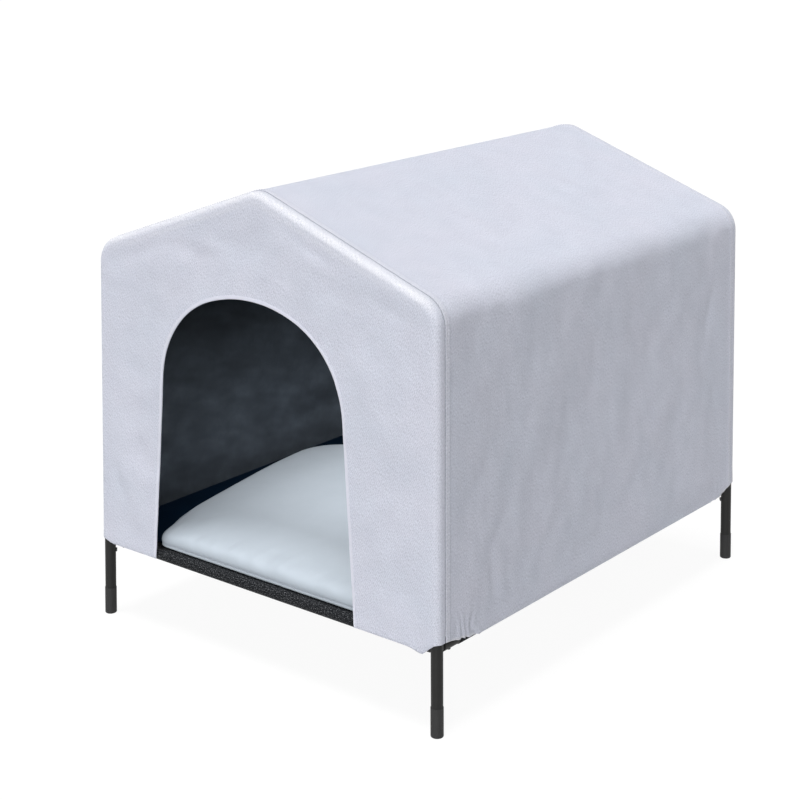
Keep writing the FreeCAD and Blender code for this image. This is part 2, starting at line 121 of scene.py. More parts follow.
# Hem lifted round each leg
LEG_LIFT = 0.019
LEG_LIFT_MOST = 0.0145
LEG_RUN_ACROSS = 0.028
LEG_RUN_FRONT = 0.095
LEG_RUN_REAR = 0.058
LEG_LIFT_REACH = 0.045
LEG_LIFT_FRONT_LEFT = 0.4
HEM_DROOP = 0.0045
HEM_DROOP_PLACE = 0.032
HEM_DROOP_WIDTH = 0.014
HEM_DROOP_DEPTH = 0.020
GATHER_PITCH = 0.018
GATHER_WANDER = 0.022
GATHER_DEPTH = 0.0012
GATHER_DROP = 0.0010
GATHER_REAR = 0.4

# Slack of the cloth: sizes and depths of its swells, calmer on the roof, and its sag
SLACK = ((0.120, 0.0042), (0.045, 0.0019), (0.018, 0.0006))
ROOF_CALM = 0.5
DOOR_EDGE_SLACK = 0.25
WALL_SAG = 0.0025
ROOF_SAG = 0.0030
REAR_SAG = 0.003
SIDE_ROOM = 0.0012
GABLE_ROOM = 0.006
SIDE_SEED, GATHER_SEED, FRONT_SEED, REAR_SEED = 1, 5, 11, 21

# Creases on each panel in millimetres: both ends on its plane, width and depth
SIDE_CREASES = (
    (360, 440, 300, 260, 12, 1.2), (340, 220, 380, 80, 10, 1.1), (-330, 80, -240, 200, 14, 1),
    (-100, 420, 160, 360, 22, 1.2), (50, 100, 220, 170, 16, 1), (-295, 20, -300, 120, 10, 2.2),
    (-255, 30, -265, 90, 8, 1.4), (370, 340, 280, 330, 10, 1.6), (380, 400, 260, 410, 12, 1.4),
    (-360, 440, -220, 340, 20, 1.4), (-20, 300, 120, 220, 24, 1.4),
)
FRONT_CREASES = (
    (-345, 568, -255, 556, 6, 1.2), (-330, 600, -180, 655, 10, 2.2), (-150, 672, -30, 712, 10, 1.6),
    (30, 715, 180, 655, 9, 1.8), (200, 640, 325, 590, 9, 1.8), (315, 560, 300, 420, 10, 1.2),
    (-330, 300, -270, 170, 12, 1.6), (-290, 420, -240, 250, 14, 1.2), (-200, 655, -60, 640, 10, 1.2),
    (70, 665, 200, 610, 12, 1.2), (240, 330, 300, 170, 14, 1.2), (220, 500, 310, 440, 14, 1),
)
REAR_CREASES = (
    (-250, 550, -120, 400, 16, 1.4), (220, 580, 100, 450, 16, 1.4), (-280, 200, -100, 270, 18, 1.2),
    (50, 240, 260, 180, 18, 1.2),
)

# Painted highlight on the folded gable edge, row by row from its seam
EDGE_HIGHLIGHT = np.array([0.15, 0.2, 0.3, 0.4, 0.6, 0.8, 1.0, 1.0, 0.8, 0.5, 0.2])
# Share of that painted highlight on the rear's edge
REAR_HIGHLIGHT = 0.3

# Section of the doorway's tape in millimetres: in from the edge, and out of the cloth
TAPE_SECTION = np.array([
    (4.8, 0.05), (4.8, 0.30), (4.3, 0.55), (3.6, 0.50), (2.8, 0.75), (1.5, 0.90), (0.3, 0.80),
    (-0.6, 0.35), (-0.95, -0.60), (-0.6, -1.55), (0.3, -2.00), (1.5, -2.10), (2.8, -1.95),
    (3.6, -1.70), (4.3, -1.75), (4.8, -1.50), (4.8, -1.25), (2.5, -1.25), (-0.1, -1.25),
    (-0.1, 0.05), (2.5, 0.05),
]) / 1000
TAPE_GROOVE = 3

# Weaves, from thread to thread, and the twill's slant on the flat cloth
TWILL_PITCH = 0.0030
LINING_PITCH = 0.0016
TAPE_PITCH = 0.0011
THREAD_TWIST = 0.0009
CUSHION_PITCH = 0.0012
MAT_PITCH = 0.0014
SLING_PITCH = 0.0036
TWILL_LEAN = math.radians(-27)

# Colours, linear
COVER_WARM = (0.720, 0.725, 0.815, 1)
COVER_COOL = (0.670, 0.705, 0.795, 1)
COVER_DIM = (0.560, 0.575, 0.665, 1)
# Painted shade in the weave's valleys, painted highlight over folded edges and a painted shade line in seams
COVER_VALLEY_SHADE = (0.300, 0.315, 0.390, 1)
COVER_HIGHLIGHT = (0.840, 0.840, 0.870, 1)
COVER_SEAM_SHADE = (0.150, 0.155, 0.190, 1)
LINING = (0.082, 0.099, 0.120, 1)
LINING_DEEP = (0.040, 0.048, 0.059, 1)
BINDING = (0.665, 0.675, 0.760, 1)
BINDING_WORN = (0.620, 0.630, 0.710, 1)
THREAD = (0.700, 0.705, 0.770, 1)
THREAD_SHADE = (0.520, 0.530, 0.600, 1)
DARK_THREAD = (0.030, 0.030, 0.032, 1)
DARK_THREAD_SHADE = (0.014, 0.014, 0.015, 1)
CUSHION_LIGHT = (0.405, 0.452, 0.502, 1)
CUSHION_DEEP = (0.375, 0.420, 0.468, 1)
MAT = (0.0010, 0.0070, 0.0185, 1)
MAT_DEEP = (0.0012, 0.0055, 0.0130, 1)
SLING = (0.0035, 0.0045, 0.0060, 1)
SLING_FLECK = (0.170, 0.175, 0.185, 1)
SLING_DUST = (0.030, 0.032, 0.035, 1)
FRAME_PAINT = (0.013, 0.013, 0.0125, 1)
FRAME_PAINT_PALE = (0.019, 0.019, 0.018, 1)
SCUFF = (0.100, 0.100, 0.100, 1)
PLASTIC = (0.014, 0.014, 0.014, 1)
STEEL = (0.550, 0.550, 0.560, 1)
SPRING_STEEL = (0.420, 0.420, 0.430, 1)
BLACK_ZINC = (0.060, 0.060, 0.062, 1)
SKY = (0.970, 0.985, 1.000, 1)
WHITE = (1, 1, 1, 1)

# Lining with painted light low down and painted shade toward the roof: brightness at the lower and upper
# heights, and these heights
LINING_HEIGHT_LIGHT = (1.60, 0.24, 0.20, 0.53)


# Node helpers

class Nodes:
    """A node tree with short ways to add nodes and to join them."""

    def __init__(self, tree):
        self.tree = tree

    def add(self, kind, inputs, output=0, **settings):
        """New node with these inputs, each a value or another node's output."""
        node = self.tree.nodes.new(kind)
        for name, value in settings.items():
            setattr(node, name, value)
        for socket, value in inputs.items():
            self.join(value, node.inputs[socket])
        return node.outputs[output]

    def join(self, value, socket):
        """Sets a socket to a value or links an output to it."""
        if isinstance(value, bpy.types.NodeSocket):
            self.tree.links.new(value, socket)
        else:
            socket.default_value = value

    def math(self, operation, *values):
        """Arithmetic on two or three values."""
        return self.add("ShaderNodeMath", dict(enumerate(values)), operation=operation)

    def whiten(self, shaded, white, share, output):
        """Ends in white for rays that show the background or its reflection, else in the shaded look."""
        path = self.add("ShaderNodeLightPath", {}).node.outputs
        seen = self.math("MAXIMUM", path["Is Camera Ray"], path["Is Glossy Ray"])
        seen = self.math("MAXIMUM", seen, path["Is Transmission Ray"])
        mixed = self.add("ShaderNodeMixShader", {0: self.math("MULTIPLY", seen, share), 1: shaded, 2: white})
        self.join(mixed, self.tree.nodes[output].inputs["Surface"])


class Shader(Nodes):
    """A material, with fields on the flat cloth or in the object's own frame, in metres."""

    def __init__(self, name, constants, flat=False):
        self.material = bpy.data.materials.new(name)
        self.material.use_nodes = True
        super().__init__(self.material.node_tree)
        self.surface = self.tree.nodes["Principled BSDF"]
        for socket, value in constants.items():
            self.surface.inputs[socket].default_value = value
        self.place = self.add("ShaderNodeUVMap", {}, uv_map="cloth") if flat else self.own_place()

    def own_place(self):
        """Place in the object's own frame."""
        return self.add("ShaderNodeTexCoord", {}, "Object")

    def noise(self, size, detail=2.0, roughness=0.5, place=None):
        """Soft random field with features of about this size."""
        inputs = {"Vector": place or self.place, "Scale": 1 / size, "Detail": detail, "Roughness": roughness}
        return self.add("ShaderNodeTexNoise", inputs)

    def bands(self, period, turn=0.0, distortion=0.0):
        """Parallel lines this far apart, turned from the first axis."""
        turned = self.add("ShaderNodeMapping", {"Vector": self.place, "Rotation": (0, 0, turn)})
        inputs = {"Vector": turned, "Scale": math.pi / (10 * period), "Distortion": distortion}
        inputs.update({"Detail": 2.0, "Detail Scale": 1.5})
        return self.add("ShaderNodeTexWave", inputs, 1)

    def strokes(self, width, length, lean):
        """Uneven short ridges about this wide and long, turned from the second axis."""
        settings = {"Vector": self.place, "Rotation": (0, 0, lean), "Scale": (width, length, 1)}
        turned = self.add("ShaderNodeMapping", settings, vector_type="TEXTURE")
        return self.between(self.noise(1.0, 2.0, 0.6, turned), 0.0, 1.0, 0.30, 0.70)

    def twill(self, pitch, lean):
        """Relief of a twill weave: slanting ribs, uneven and broken up by fuzz."""
        ribs = self.bands(pitch, -lean, 3.0)
        return self.math("MULTIPLY_ADD", ribs, 0.25, self.strokes(pitch * 0.36, pitch * 1.15, lean))

    def weave(self, pitch, wander, crossing="MULTIPLY"):
        """Relief of threads that cross at right angles."""
        return self.math(crossing, self.bands(pitch, 0.0, wander), self.bands(pitch, math.pi / 2, wander))

    def between(self, value, low, high, start=0.0, stop=1.0):
        """A field from start to stop carried over to this range."""
        inputs = {"Value": value, "From Min": start, "From Max": stop, "To Min": low, "To Max": high}
        return self.add("ShaderNodeMapRange", inputs)

    def blend(self, share, first, second, mode="MIX"):
        """Mixes two colours."""
        inputs = {0: share, 6: first, 7: second}
        return self.add("ShaderNodeMix", inputs, 2, data_type="RGBA", blend_type=mode)

    def finish(self, colour, rough, relief):
        """The material with this colour, a field's range of roughness, and a relief's depth and strength."""
        bump = self.add("ShaderNodeBump", dict(zip(("Height", "Distance", "Strength"), relief)))
        for value, socket in ((colour, "Base Color"), (self.between(*rough), "Roughness"), (bump, "Normal")):
            self.join(value, self.surface.inputs[socket])
        return self.material


def scaled(colour, share):
    """A colour made lighter or darker."""
    return tuple(share * c for c in colour[:3]) + (1,)


def cover_cloth_material():
    """Pale grey twill with soft mottling, a painted highlight over a folded edge, painted shade in the
    weave's valleys and a painted shade line in a seam.
    """
    sheen = {"Sheen Weight": 0.1, "Sheen Roughness": 0.5, "Specular IOR Level": 0.2}
    shader = Shader("cover_twill", sheen, flat=True)
    weave = shader.twill(TWILL_PITCH, TWILL_LEAN)
    mottle = shader.noise(0.14, 4.0, 0.6)
    patches = shader.noise(0.040, 4.0, 0.65)
    tone = shader.blend(shader.between(mottle, -0.5, 1.5), COVER_WARM, COVER_COOL)
    cloudy = shader.blend(shader.between(patches, -0.30, 0.50), tone, COVER_DIM)
    # The attribute read here carries a painted highlight on folded edges above zero and a painted shade line
    # in seams at minus one
    painted_light = shader.add("ShaderNodeAttribute", {}, "Fac", attribute_name="painted_light")
    uneven = shader.math("MULTIPLY", painted_light, shader.between(patches, 0.6, 1.3, 0.3, 0.7))
    wear_and_highlight = shader.blend(uneven, cloudy, COVER_HIGHLIGHT)
    # Painted shade in the weave's valleys, then the painted shade line along seams
    shaded = shader.blend(shader.between(weave, 0.56, 0.0, 0.15, 0.95), wear_and_highlight, COVER_VALLEY_SHADE)
    seam_shaded = shader.blend(shader.between(painted_light, 0.50, 0.0, -1.0, 0.0), shaded, COVER_SEAM_SHADE)
    return shader.finish(seam_shaded, (patches, 0.80, 0.96), (weave, 0.0005, 0.8))


def lining_material():
    """Dark coated inside of the cover's cloth, streaked where it was folded, with painted light low down and
    painted shade toward the roof.
    """
    shader = Shader("cover_lining", {"Specular IOR Level": 0.3}, flat=True)
    weave = shader.twill(LINING_PITCH, -TWILL_LEAN)
    streaks = shader.strokes(0.13, 0.045, 0.25)
    clouds = shader.noise(0.05, 4.0, 0.65)
    tone = shader.blend(streaks, LINING_DEEP, LINING)
    cloudy = shader.blend(shader.between(clouds, 0.0, 0.7, 0.35, 0.7), tone, LINING_DEEP)
    # Painted light low down and painted shade toward the roof, by height
    height = shader.add("ShaderNodeSeparateXYZ", {"Vector": shader.own_place()}, "Z")
    height_lit = shader.blend(1.0, cloudy, shader.between(height, *LINING_HEIGHT_LIGHT), "MULTIPLY")
    return shader.finish(height_lit, (clouds, 0.48, 0.72), (weave, 0.00015, 0.4))


def binding_material():
    """Folded tape of the cover's cloth, a little lighter."""
    shader = Shader("doorway_tape", {"Sheen Weight": 0.12, "Specular IOR Level": 0.25}, flat=True)
    ribs = shader.bands(TAPE_PITCH, math.radians(40), 0.8)
    wear = shader.noise(0.03, 3.0)
    tone = shader.blend(shader.between(wear, -0.2, 0.7), BINDING, BINDING_WORN)
    return shader.finish(tone, (wear, 0.78, 0.95), (ribs, 0.0002, 0.5))


def thread_material(name, light, shade, rough):
    """Twisted sewing thread."""
    shader = Shader(name, {"Specular IOR Level": 0.4})
    twist = shader.bands(THREAD_TWIST, math.radians(45), 0.4)
    return shader.finish(shader.blend(twist, light, shade), (twist, rough, rough + 0.2), (twist, 0.0001, 0.5))


def cushion_material():
    """Smooth close-woven cloth with a faint satin sheen."""
    sheen = {"Sheen Weight": 0.06, "Sheen Roughness": 0.35, "Specular IOR Level": 0.3}
    shader = Shader("cushion_satin", sheen)
    mottle = shader.noise(0.07, 4.0, 0.6)
    tone = shader.blend(shader.between(mottle, -0.3, 1.3), CUSHION_LIGHT, CUSHION_DEEP)
    return shader.finish(tone, (mottle, 0.52, 0.72), (shader.weave(CUSHION_PITCH, 0.6), 0.0001, 0.35))


def mat_material():
    """Dark smooth cloth of the floor mat."""
    shader = Shader("mat_cloth", {"Specular IOR Level": 0.03})
    mottle = shader.noise(0.06, 4.0)
    tone = shader.blend(shader.between(mottle, -0.2, 1.0), MAT, MAT_DEEP)
    return shader.finish(tone, (mottle, 0.45, 0.65), (shader.weave(MAT_PITCH, 0.5), 0.00015, 0.4))


def sling_material():
    """Coarse black cloth woven with pale flecks."""
    shader = Shader("sling_weave", {"Specular IOR Level": 0.1}, flat=True)
    weave = shader.weave(SLING_PITCH, 0.5, "MAXIMUM")
    fleck = shader.noise(0.0020, 2.0, 0.7)
    dust = shader.noise(0.02, 4.0)
    tone = shader.blend(shader.between(fleck, 0.0, 0.9, 0.53, 0.68), SLING, SLING_FLECK)
    wear_and_highlight = shader.blend(shader.between(dust, -0.2, 0.2), tone, SLING_DUST)
    return shader.finish(wear_and_highlight, (weave, 0.85, 0.6), (weave, 0.0008, 0.8))


def painted_steel_material():
    """Charcoal powder coat: fine orange peel and a few scuffs."""
    shader = Shader("powder_coat", {"Specular IOR Level": 0.22})
    peel = shader.noise(0.0011)
    cloud = shader.noise(0.03, 4.0)
    scuff = shader.noise(0.006, 6.0, 0.75)
    marks = shader.between(scuff, 0.0, 1.0, 0.66, 0.76)
    tone = shader.blend(shader.between(cloud, -0.1, 0.8), FRAME_PAINT, FRAME_PAINT_PALE)
    wear_and_highlight = shader.blend(shader.math("MULTIPLY", marks, 0.25), tone, SCUFF)
    return shader.finish(wear_and_highlight, (cloud, 0.42, 0.58), (peel, 0.00012, 0.6))


def plastic_material(name, colour):
    """Moulded plastic with a spark-eroded grain."""
    shader = Shader(name, {"Specular IOR Level": 0.4})
    grain = shader.noise(0.0008, 3.0, 0.6)
    cloud = shader.noise(0.012, 4.0)
    tone = shader.blend(shader.between(cloud, -0.2, 0.7), colour, scaled(colour, 1.7))
    return shader.finish(tone, (cloud, 0.55, 0.75), (grain, 0.0001, 0.5))


def metal_material(name, colour, rough):
    """Bare or plated metal with fine drawn lines."""
    shader = Shader(name, {"Metallic": 1.0})
    lines = shader.bands(0.0004, math.radians(35), 2.0)
    cloud = shader.noise(0.004, 3.0)
    tone = shader.blend(cloud, colour, scaled(colour, 0.7))
    return shader.finish(tone, (cloud, rough, rough + 0.15), (lines, 0.00003, 0.4))


COVER_CLOTH = cover_cloth_material()
COVER_SIDES = [COVER_CLOTH, lining_material()]
DOOR_TAPE = binding_material()
PALE_THREAD = thread_material("sewing_thread", THREAD, THREAD_SHADE, 0.55)
BLACK_THREAD = thread_material("black_thread", DARK_THREAD, DARK_THREAD_SHADE, 0.5)
CUSHION_CLOTH = cushion_material()
MAT_CLOTH = mat_material()
SLING_CLOTH = sling_material()

CAD_MATERIALS = {
    "frame_steel": painted_steel_material(),
    "foot_plastic": plastic_material("foot_plastic", PLASTIC),
    "joint_plastic": plastic_material("joint_nylon", PLASTIC),
    "screw_steel": metal_material("screw_black_zinc", BLACK_ZINC, 0.35),
    "button_steel": metal_material("button_steel", STEEL, 0.25),
    "spring_steel": metal_material("spring_steel", SPRING_STEEL, 0.3),
    "sling_cloth": SLING_CLOTH,
    "mat_cloth": MAT_CLOTH,
    "cover_cloth": COVER_CLOTH,
    "binding_cloth": DOOR_TAPE,
    "cushion_cloth": CUSHION_CLOTH,
    "cushion_filling": CUSHION_CLOTH,
}


# Mesh helpers

def unit(vectors):
    """Vectors brought to length one."""
    return vectors / np.maximum(np.linalg.norm(vectors, axis=-1, keepdims=True), 1e-12)


def run_lengths(line):
    """Length along a line at each of its places."""
    return np.append(0, np.cumsum(np.linalg.norm(np.diff(line, axis=0), axis=-1)))


def nearest(values, target):
    """Which of the values lies closest to the target."""
    return int(np.argmin(np.abs(values - target)))


def stand(flat, y):
    """Places from a figure in X and Z and their Y."""
    x, z = np.moveaxis(np.broadcast_to(flat, y.shape + (2,)), -1, 0)
    return np.stack([x, y, z], -1)


def get_places(mesh):
    """A mesh's vertices, one row each."""
    places = np.empty(len(mesh.vertices) * 3)
    mesh.vertices.foreach_get("co", places)
    return places.reshape(-1, 3)


def set_places(mesh, places):
    """Moves a mesh's vertices to these rows."""
    mesh.vertices.foreach_set("co", places.ravel())
    mesh.update()


def cloth_area(piece):
    """Area of a sheet's one side."""
    return sum(p.area for p in piece.data.polygons)


def new_object(name, data):
    """Object in the scene that shows this data."""
    thing = bpy.data.objects.new(name, data)
    bpy.context.scene.collection.objects.link(thing)
    return thing


def grid_faces(rows, columns, start=0, around=False):
    """Quads of a grid, closed round its columns where asked."""
    last = columns if around else columns - 1
    row, column = np.meshgrid(np.arange(rows - 1), np.arange(last), indexing="ij")
    after = (column + 1) % columns
    corners = [row * columns + column, row * columns + after]
    corners += [(row + 1) * columns + after, (row + 1) * columns + column]
    return start + np.stack(corners, -1).reshape(-1, 4)


def new_piece(name, places, faces, materials, cloth=None, painted_light=None):
    """Smooth mesh object, with its place on the flat cloth and its painted highlight and seam shade line
    where given.
    """
    mesh = bpy.data.meshes.new(name)
    mesh.from_pydata(np.asarray(places).reshape(-1, 3).tolist(), [], [list(f) for f in faces])
    if cloth is not None:
        layer = mesh.uv_layers.new(name="cloth")
        corners = np.empty(len(mesh.loops), int)
        mesh.loops.foreach_get("vertex_index", corners)
        layer.data.foreach_set("uv", np.asarray(cloth).reshape(-1, 2)[corners].ravel())
    if painted_light is not None:
        mesh.attributes.new("painted_light", "FLOAT", "POINT").data.foreach_set("value", np.asarray(painted_light).ravel())
    for material in materials:
        mesh.materials.append(material)
    mesh.shade_smooth()
    mesh.validate()
    return new_object(name, mesh)


def give_thickness(piece, thickness, inner_slot=0):
    """Turns a sheet into cloth of this thickness, inward from its outside."""
    solid = piece.modifiers.new("thickness", "SOLIDIFY")
    solid.thickness = thickness
    solid.offset = -1
    solid.use_even_offset = True
    solid.material_offset = inner_slot
    return piece


def graded(stops):
    """Places from zero through each stop, no further apart than its step."""
    places = [0.0]
    for stop, step in stops:
        count = max(1, math.ceil((stop - places[-1]) / step - 1e-6))
        places += list(np.linspace(places[-1], stop, count + 1)[1:])
    return np.array(places)


def smooth(value, low, high):
    """Smooth step from 0 at low to 1 at high."""
    share = np.clip((value - low) / (high - low), 0, 1)
    return share * share * (3 - 2 * share)


class Path:
    """Plane line of straight runs and arcs, read by the length from its start."""

    def __init__(self, start, heading, runs):
        steps = [max(1, math.ceil(abs(turn) / ARC_STEP)) for length, turn in runs]
        lengths, turns = np.repeat(np.array(runs) / np.array(steps)[:, None], steps, axis=0).T
        middle = heading + np.cumsum(turns) - turns / 2
        moves = lengths * np.array([np.cos(middle), np.sin(middle)])
        self.places = np.cumsum(np.vstack([start, moves.T]), axis=0)
        self.headings = heading + np.cumsum(np.append(0, turns))
        self.lengths = np.cumsum(np.append(0, lengths))
        self.length = self.lengths[-1]

    def at(self, along):
        """Places and left-hand normals at these lengths."""
        place = np.stack([np.interp(along, self.lengths, c) for c in self.places.T], -1)
        heading = np.interp(along, self.lengths, self.headings)
        return place, np.stack([-np.sin(heading), np.cos(heading)], -1)


# Cover

def half_length(height):
    """Distance of a gable wall's outside from the middle."""
    return HALF_LENGTH - LEAN_SLOPE * (height - HEM)


def gable_runs():
    """Wall, eave, roof and apex lengths of the gable outline, with their turns."""
    peak = RIDGE + APEX_BEND * (1 / math.cos(PITCH) - 1)
    base = HALF_WIDTH + LEAN_SLOPE * HEM
    eave = (peak - base * math.tan(PITCH)) / (1 - LEAN_SLOPE * math.tan(PITCH))
    eave_x = base - LEAN_SLOPE * eave
    eave_turn = math.pi / 2 - LEAN - PITCH
    eave_cut = EAVE_BEND * math.tan(eave_turn / 2)
    apex_cut = APEX_BEND * math.tan(PITCH)
    wall = math.hypot(HALF_WIDTH - eave_x, eave - HEM) - eave_cut
    roof = math.hypot(eave_x, peak - eave) - eave_cut - apex_cut
    half = [(wall, 0), (EAVE_BEND * eave_turn, -eave_turn), (roof, 0)]
    return half + [(APEX_BEND * 2 * PITCH, -2 * PITCH)] + half[::-1]


RUNS = gable_runs()
GABLE = Path((-HALF_WIDTH, HEM), math.pi / 2 - LEAN, RUNS)
WALL, EAVE, ROOF, APEX = (run[0] for run in RUNS[:4])


def door_path():
    """Doorway outline from its left foot over the arch to its right foot."""
    spring = DOOR_HEIGHT - DOOR_ARCH_RISE
    spring_x = DOOR_WIDTH / 2 - math.tan(DOOR_JAMB_LEAN) * (spring - HEM)
    run = math.cos(DOOR_JAMB_LEAN) - math.cos(DOOR_SHOULDER)
    climb = math.sin(DOOR_SHOULDER) - math.sin(DOOR_JAMB_LEAN)
    flat = 1 - math.sin(DOOR_SHOULDER)
    scale = math.cos(DOOR_SHOULDER) * climb - run * flat
    crown = (spring_x * climb - run * DOOR_ARCH_RISE) / scale
    shoulder = (math.cos(DOOR_SHOULDER) * DOOR_ARCH_RISE - flat * spring_x) / scale
    jamb = ((spring - HEM) / math.cos(DOOR_JAMB_LEAN), 0)
    turn = DOOR_SHOULDER - DOOR_JAMB_LEAN
    crown_turn = math.pi - 2 * DOOR_SHOULDER
    side = [jamb, (shoulder * turn, -turn)]
    runs = side + [(crown * crown_turn, -crown_turn)] + side[::-1]
    return Path((DOOR_SHIFT - DOOR_WIDTH / 2, HEM), math.pi / 2 - DOOR_JAMB_LEAN, runs)


DOOR = door_path()


def outline_places():
    """Lengths along the gable outline at which the cover has its columns."""
    half = graded([
        (HEM_STITCH, 0.003), (LEG_LIFT_REACH, 0.0042), (WALL, 0.007),
        (WALL + EAVE, 0.005), (WALL + EAVE + ROOF, 0.0075), (GABLE.length / 2, 0.003),
    ])
    return np.concatenate([half, GABLE.length - half[-2::-1]])


ALONG = outline_places()
FROM_HEM = np.minimum(ALONG, GABLE.length - ALONG)
hem_column = nearest(ALONG, HEM_STITCH)
HEM_COLUMNS = (hem_column, len(ALONG) - 1 - hem_column)


def lift_hem(places):
    """Raises the hem in a slant over each leg, beside a small droop at the front right one."""
    x, y, z = np.moveaxis(places, -1, 0)
    across = (HALF_WIDTH - np.abs(x)) / LEG_RUN_ACROSS
    along = (HALF_LENGTH - np.abs(y)) / np.where(y < 0, LEG_RUN_FRONT, LEG_RUN_REAR)
    lift = np.clip(LEG_LIFT * (1 - np.maximum(across, 0) - np.maximum(along, 0)), 0, LEG_LIFT_MOST)
    lift = lift * np.where((x < 0) & (y < 0), LEG_LIFT_FRONT_LEFT, 1)
    share = np.clip(1 - (z - HEM) / LEG_LIFT_REACH, 0, 1)
    beside = (x - HALF_WIDTH + HEM_DROOP_PLACE) / HEM_DROOP_WIDTH
    droop = HEM_DROOP * np.exp(-beside ** 2) * (y < HEM_DROOP_DEPTH - HALF_LENGTH)
    places[..., 2] += (lift - droop) * share
    return lift


def soft_waves(places, size, seed):
    """Smooth random field over the places, about -1 to 1."""
    shift = Vector((seed * 3.7, seed * 1.3, seed * 7.9))
    flat = places.reshape(-1, 3) / size
    values = [noise.noise(Vector(p) + shift) for p in flat.tolist()]
    return np.array(values).reshape(places.shape[:-1])


def slack_cloth(places, seed):
    """Uneven relief of slack cloth: broad swells with smaller dents on them."""
    return sum(depth * soft_waves(places, size, seed + k) for k, (size, depth) in enumerate(SLACK))


def creases(flat, rows):
    """Shallow troughs along lines on the flat cloth, fading at their ends."""
    relief = np.zeros(flat.shape[:-1])
    for row in np.array(rows) / 1000:
        start, run, (width, depth) = row[:2], row[2:4] - row[:2], row[4:]
        share = np.clip(((flat - start) @ run) / (run @ run), 0, 1)
        gap = np.linalg.norm(flat - (start + share[..., None] * run), axis=-1)
        relief -= depth * np.exp(-(gap / width) ** 2) * np.sin(math.pi * np.clip(share, 0.03, 0.97))
    return relief


def seam_band(distance):
    """Folded edge with two stitched grooves, beside a gable seam."""
    return SEAM_RAISE * np.interp(distance, SEAM_STOPS, SEAM_HEIGHTS)


def hem_band(distance):
    """Turned-up hem with one stitched groove."""
    return HEM_RAISE * np.interp(distance, HEM_STOPS, HEM_HEIGHTS)


# Lines of sewing on the cover: places, ways out of the cloth, and the thread's radius
STITCHED = []


def side_relief(places, reach, from_seam):
    """How far the side and roof cloth stands off its tubes, and its gathers beside the legs."""
    y = places[..., 1]
    from_hem = FROM_HEM[None]
    from_ridge = np.abs(ALONG - GABLE.length / 2)[None]
    slack = smooth(from_seam, 0.010, 0.09) * smooth(from_ridge, 0.02, 0.08) * smooth(from_hem, 0.01, 0.05)
    waves = slack_cloth(places, SIDE_SEED) * (1 - ROOF_CALM * smooth(from_hem, WALL, WALL + EAVE))
    on_wall = smooth(from_hem, 0.0, 0.15) * (1 - smooth(from_hem, 0.30, WALL))
    on_roof = smooth(from_hem, WALL + EAVE, WALL + EAVE + 0.12) * smooth(from_ridge, 0.0, 0.12)
    span = np.cos(math.pi / 2 * np.abs(y) / reach[None])
    sag = -span * (WALL_SAG * on_wall + ROOF_SAG * on_roof)
    marks = creases(np.stack([y, from_hem + 0 * y], -1), SIDE_CREASES) * (ALONG > GABLE.length / 2)
    uneven = from_seam + GATHER_WANDER * soft_waves(places, 0.03, GATHER_SEED)
    gather = np.sin(2 * math.pi * uneven / GATHER_PITCH) * smooth(from_seam, 0.012, 0.03)
    gather = gather * (1 - smooth(from_seam, 0.065, 0.095)) * (1 - smooth(from_hem, 0.006, 0.060))
    gather = gather * np.where(y < 0, 1.0, GATHER_REAR)
    offset = slack * (waves + marks) + sag * slack + GATHER_DEPTH * gather
    offset = np.maximum(offset, -SIDE_ROOM - 0.02 * smooth(from_hem, 0.03, 0.08))
    return offset + seam_band(from_seam) + hem_band(from_hem), gather


def make_side_and_roof():
    """One sheet up the left wall, over the roof and down the right wall."""
    outline, normal = GABLE.at(ALONG)
    near = graded(list(zip(SEAM_STOPS[1:], SEAM_STEPS)) + [(0.110, 0.0033)])
    reach = half_length(outline[:, 1]) - SEAM_SETBACK
    front = near[:, None] - reach[None]
    share = np.linspace(0, 1, 88)[1:-1, None]
    middle = front[-1] * (1 - share) - front[-1] * share
    y = np.concatenate([front, middle, -front[::-1]])
    rows, columns = y.shape
    places = stand(outline, y)
    cloth = np.stack([y, np.broadcast_to(-ALONG, y.shape)], -1)
    lift = lift_hem(places)
    from_seam = reach[None] - np.abs(y)
    offset, gather = side_relief(places, reach, from_seam)
    places[..., 2] -= GATHER_DROP * gather * (1 - smooth(FROM_HEM, 0.0, 0.03))
    out = stand(normal, np.zeros(y.shape))
    places += out * offset[..., None]

    # Painted highlight beside the seam and along the lifted hem, and a painted shade line in the seam row
    lifted_highlight = (lift > 0.002) * (1 - smooth(FROM_HEM, 0.001, 0.005))
    painted_light = np.clip(0.30 * (1 - smooth(from_seam, 0.006, 0.010)) + 0.8 * lifted_highlight, 0, 1)
    painted_light = np.where(from_seam < 0.0004, -1, painted_light)
    piece = new_piece("cover_side_and_roof", places, grid_faces(rows, columns), COVER_SIDES, cloth, painted_light)
    for distance in SEAM_STITCHES:
        row = nearest(near, distance)
        for line in (row, rows - 1 - row):
            STITCHED.append((places[line], out[line], STITCH_RADIUS))
    for line in HEM_COLUMNS:
        STITCHED.append((places[:, line], out[:, line], HEM_STITCH_RADIUS))
    return give_thickness(piece, CLOTH, 1), cloth_area(piece)


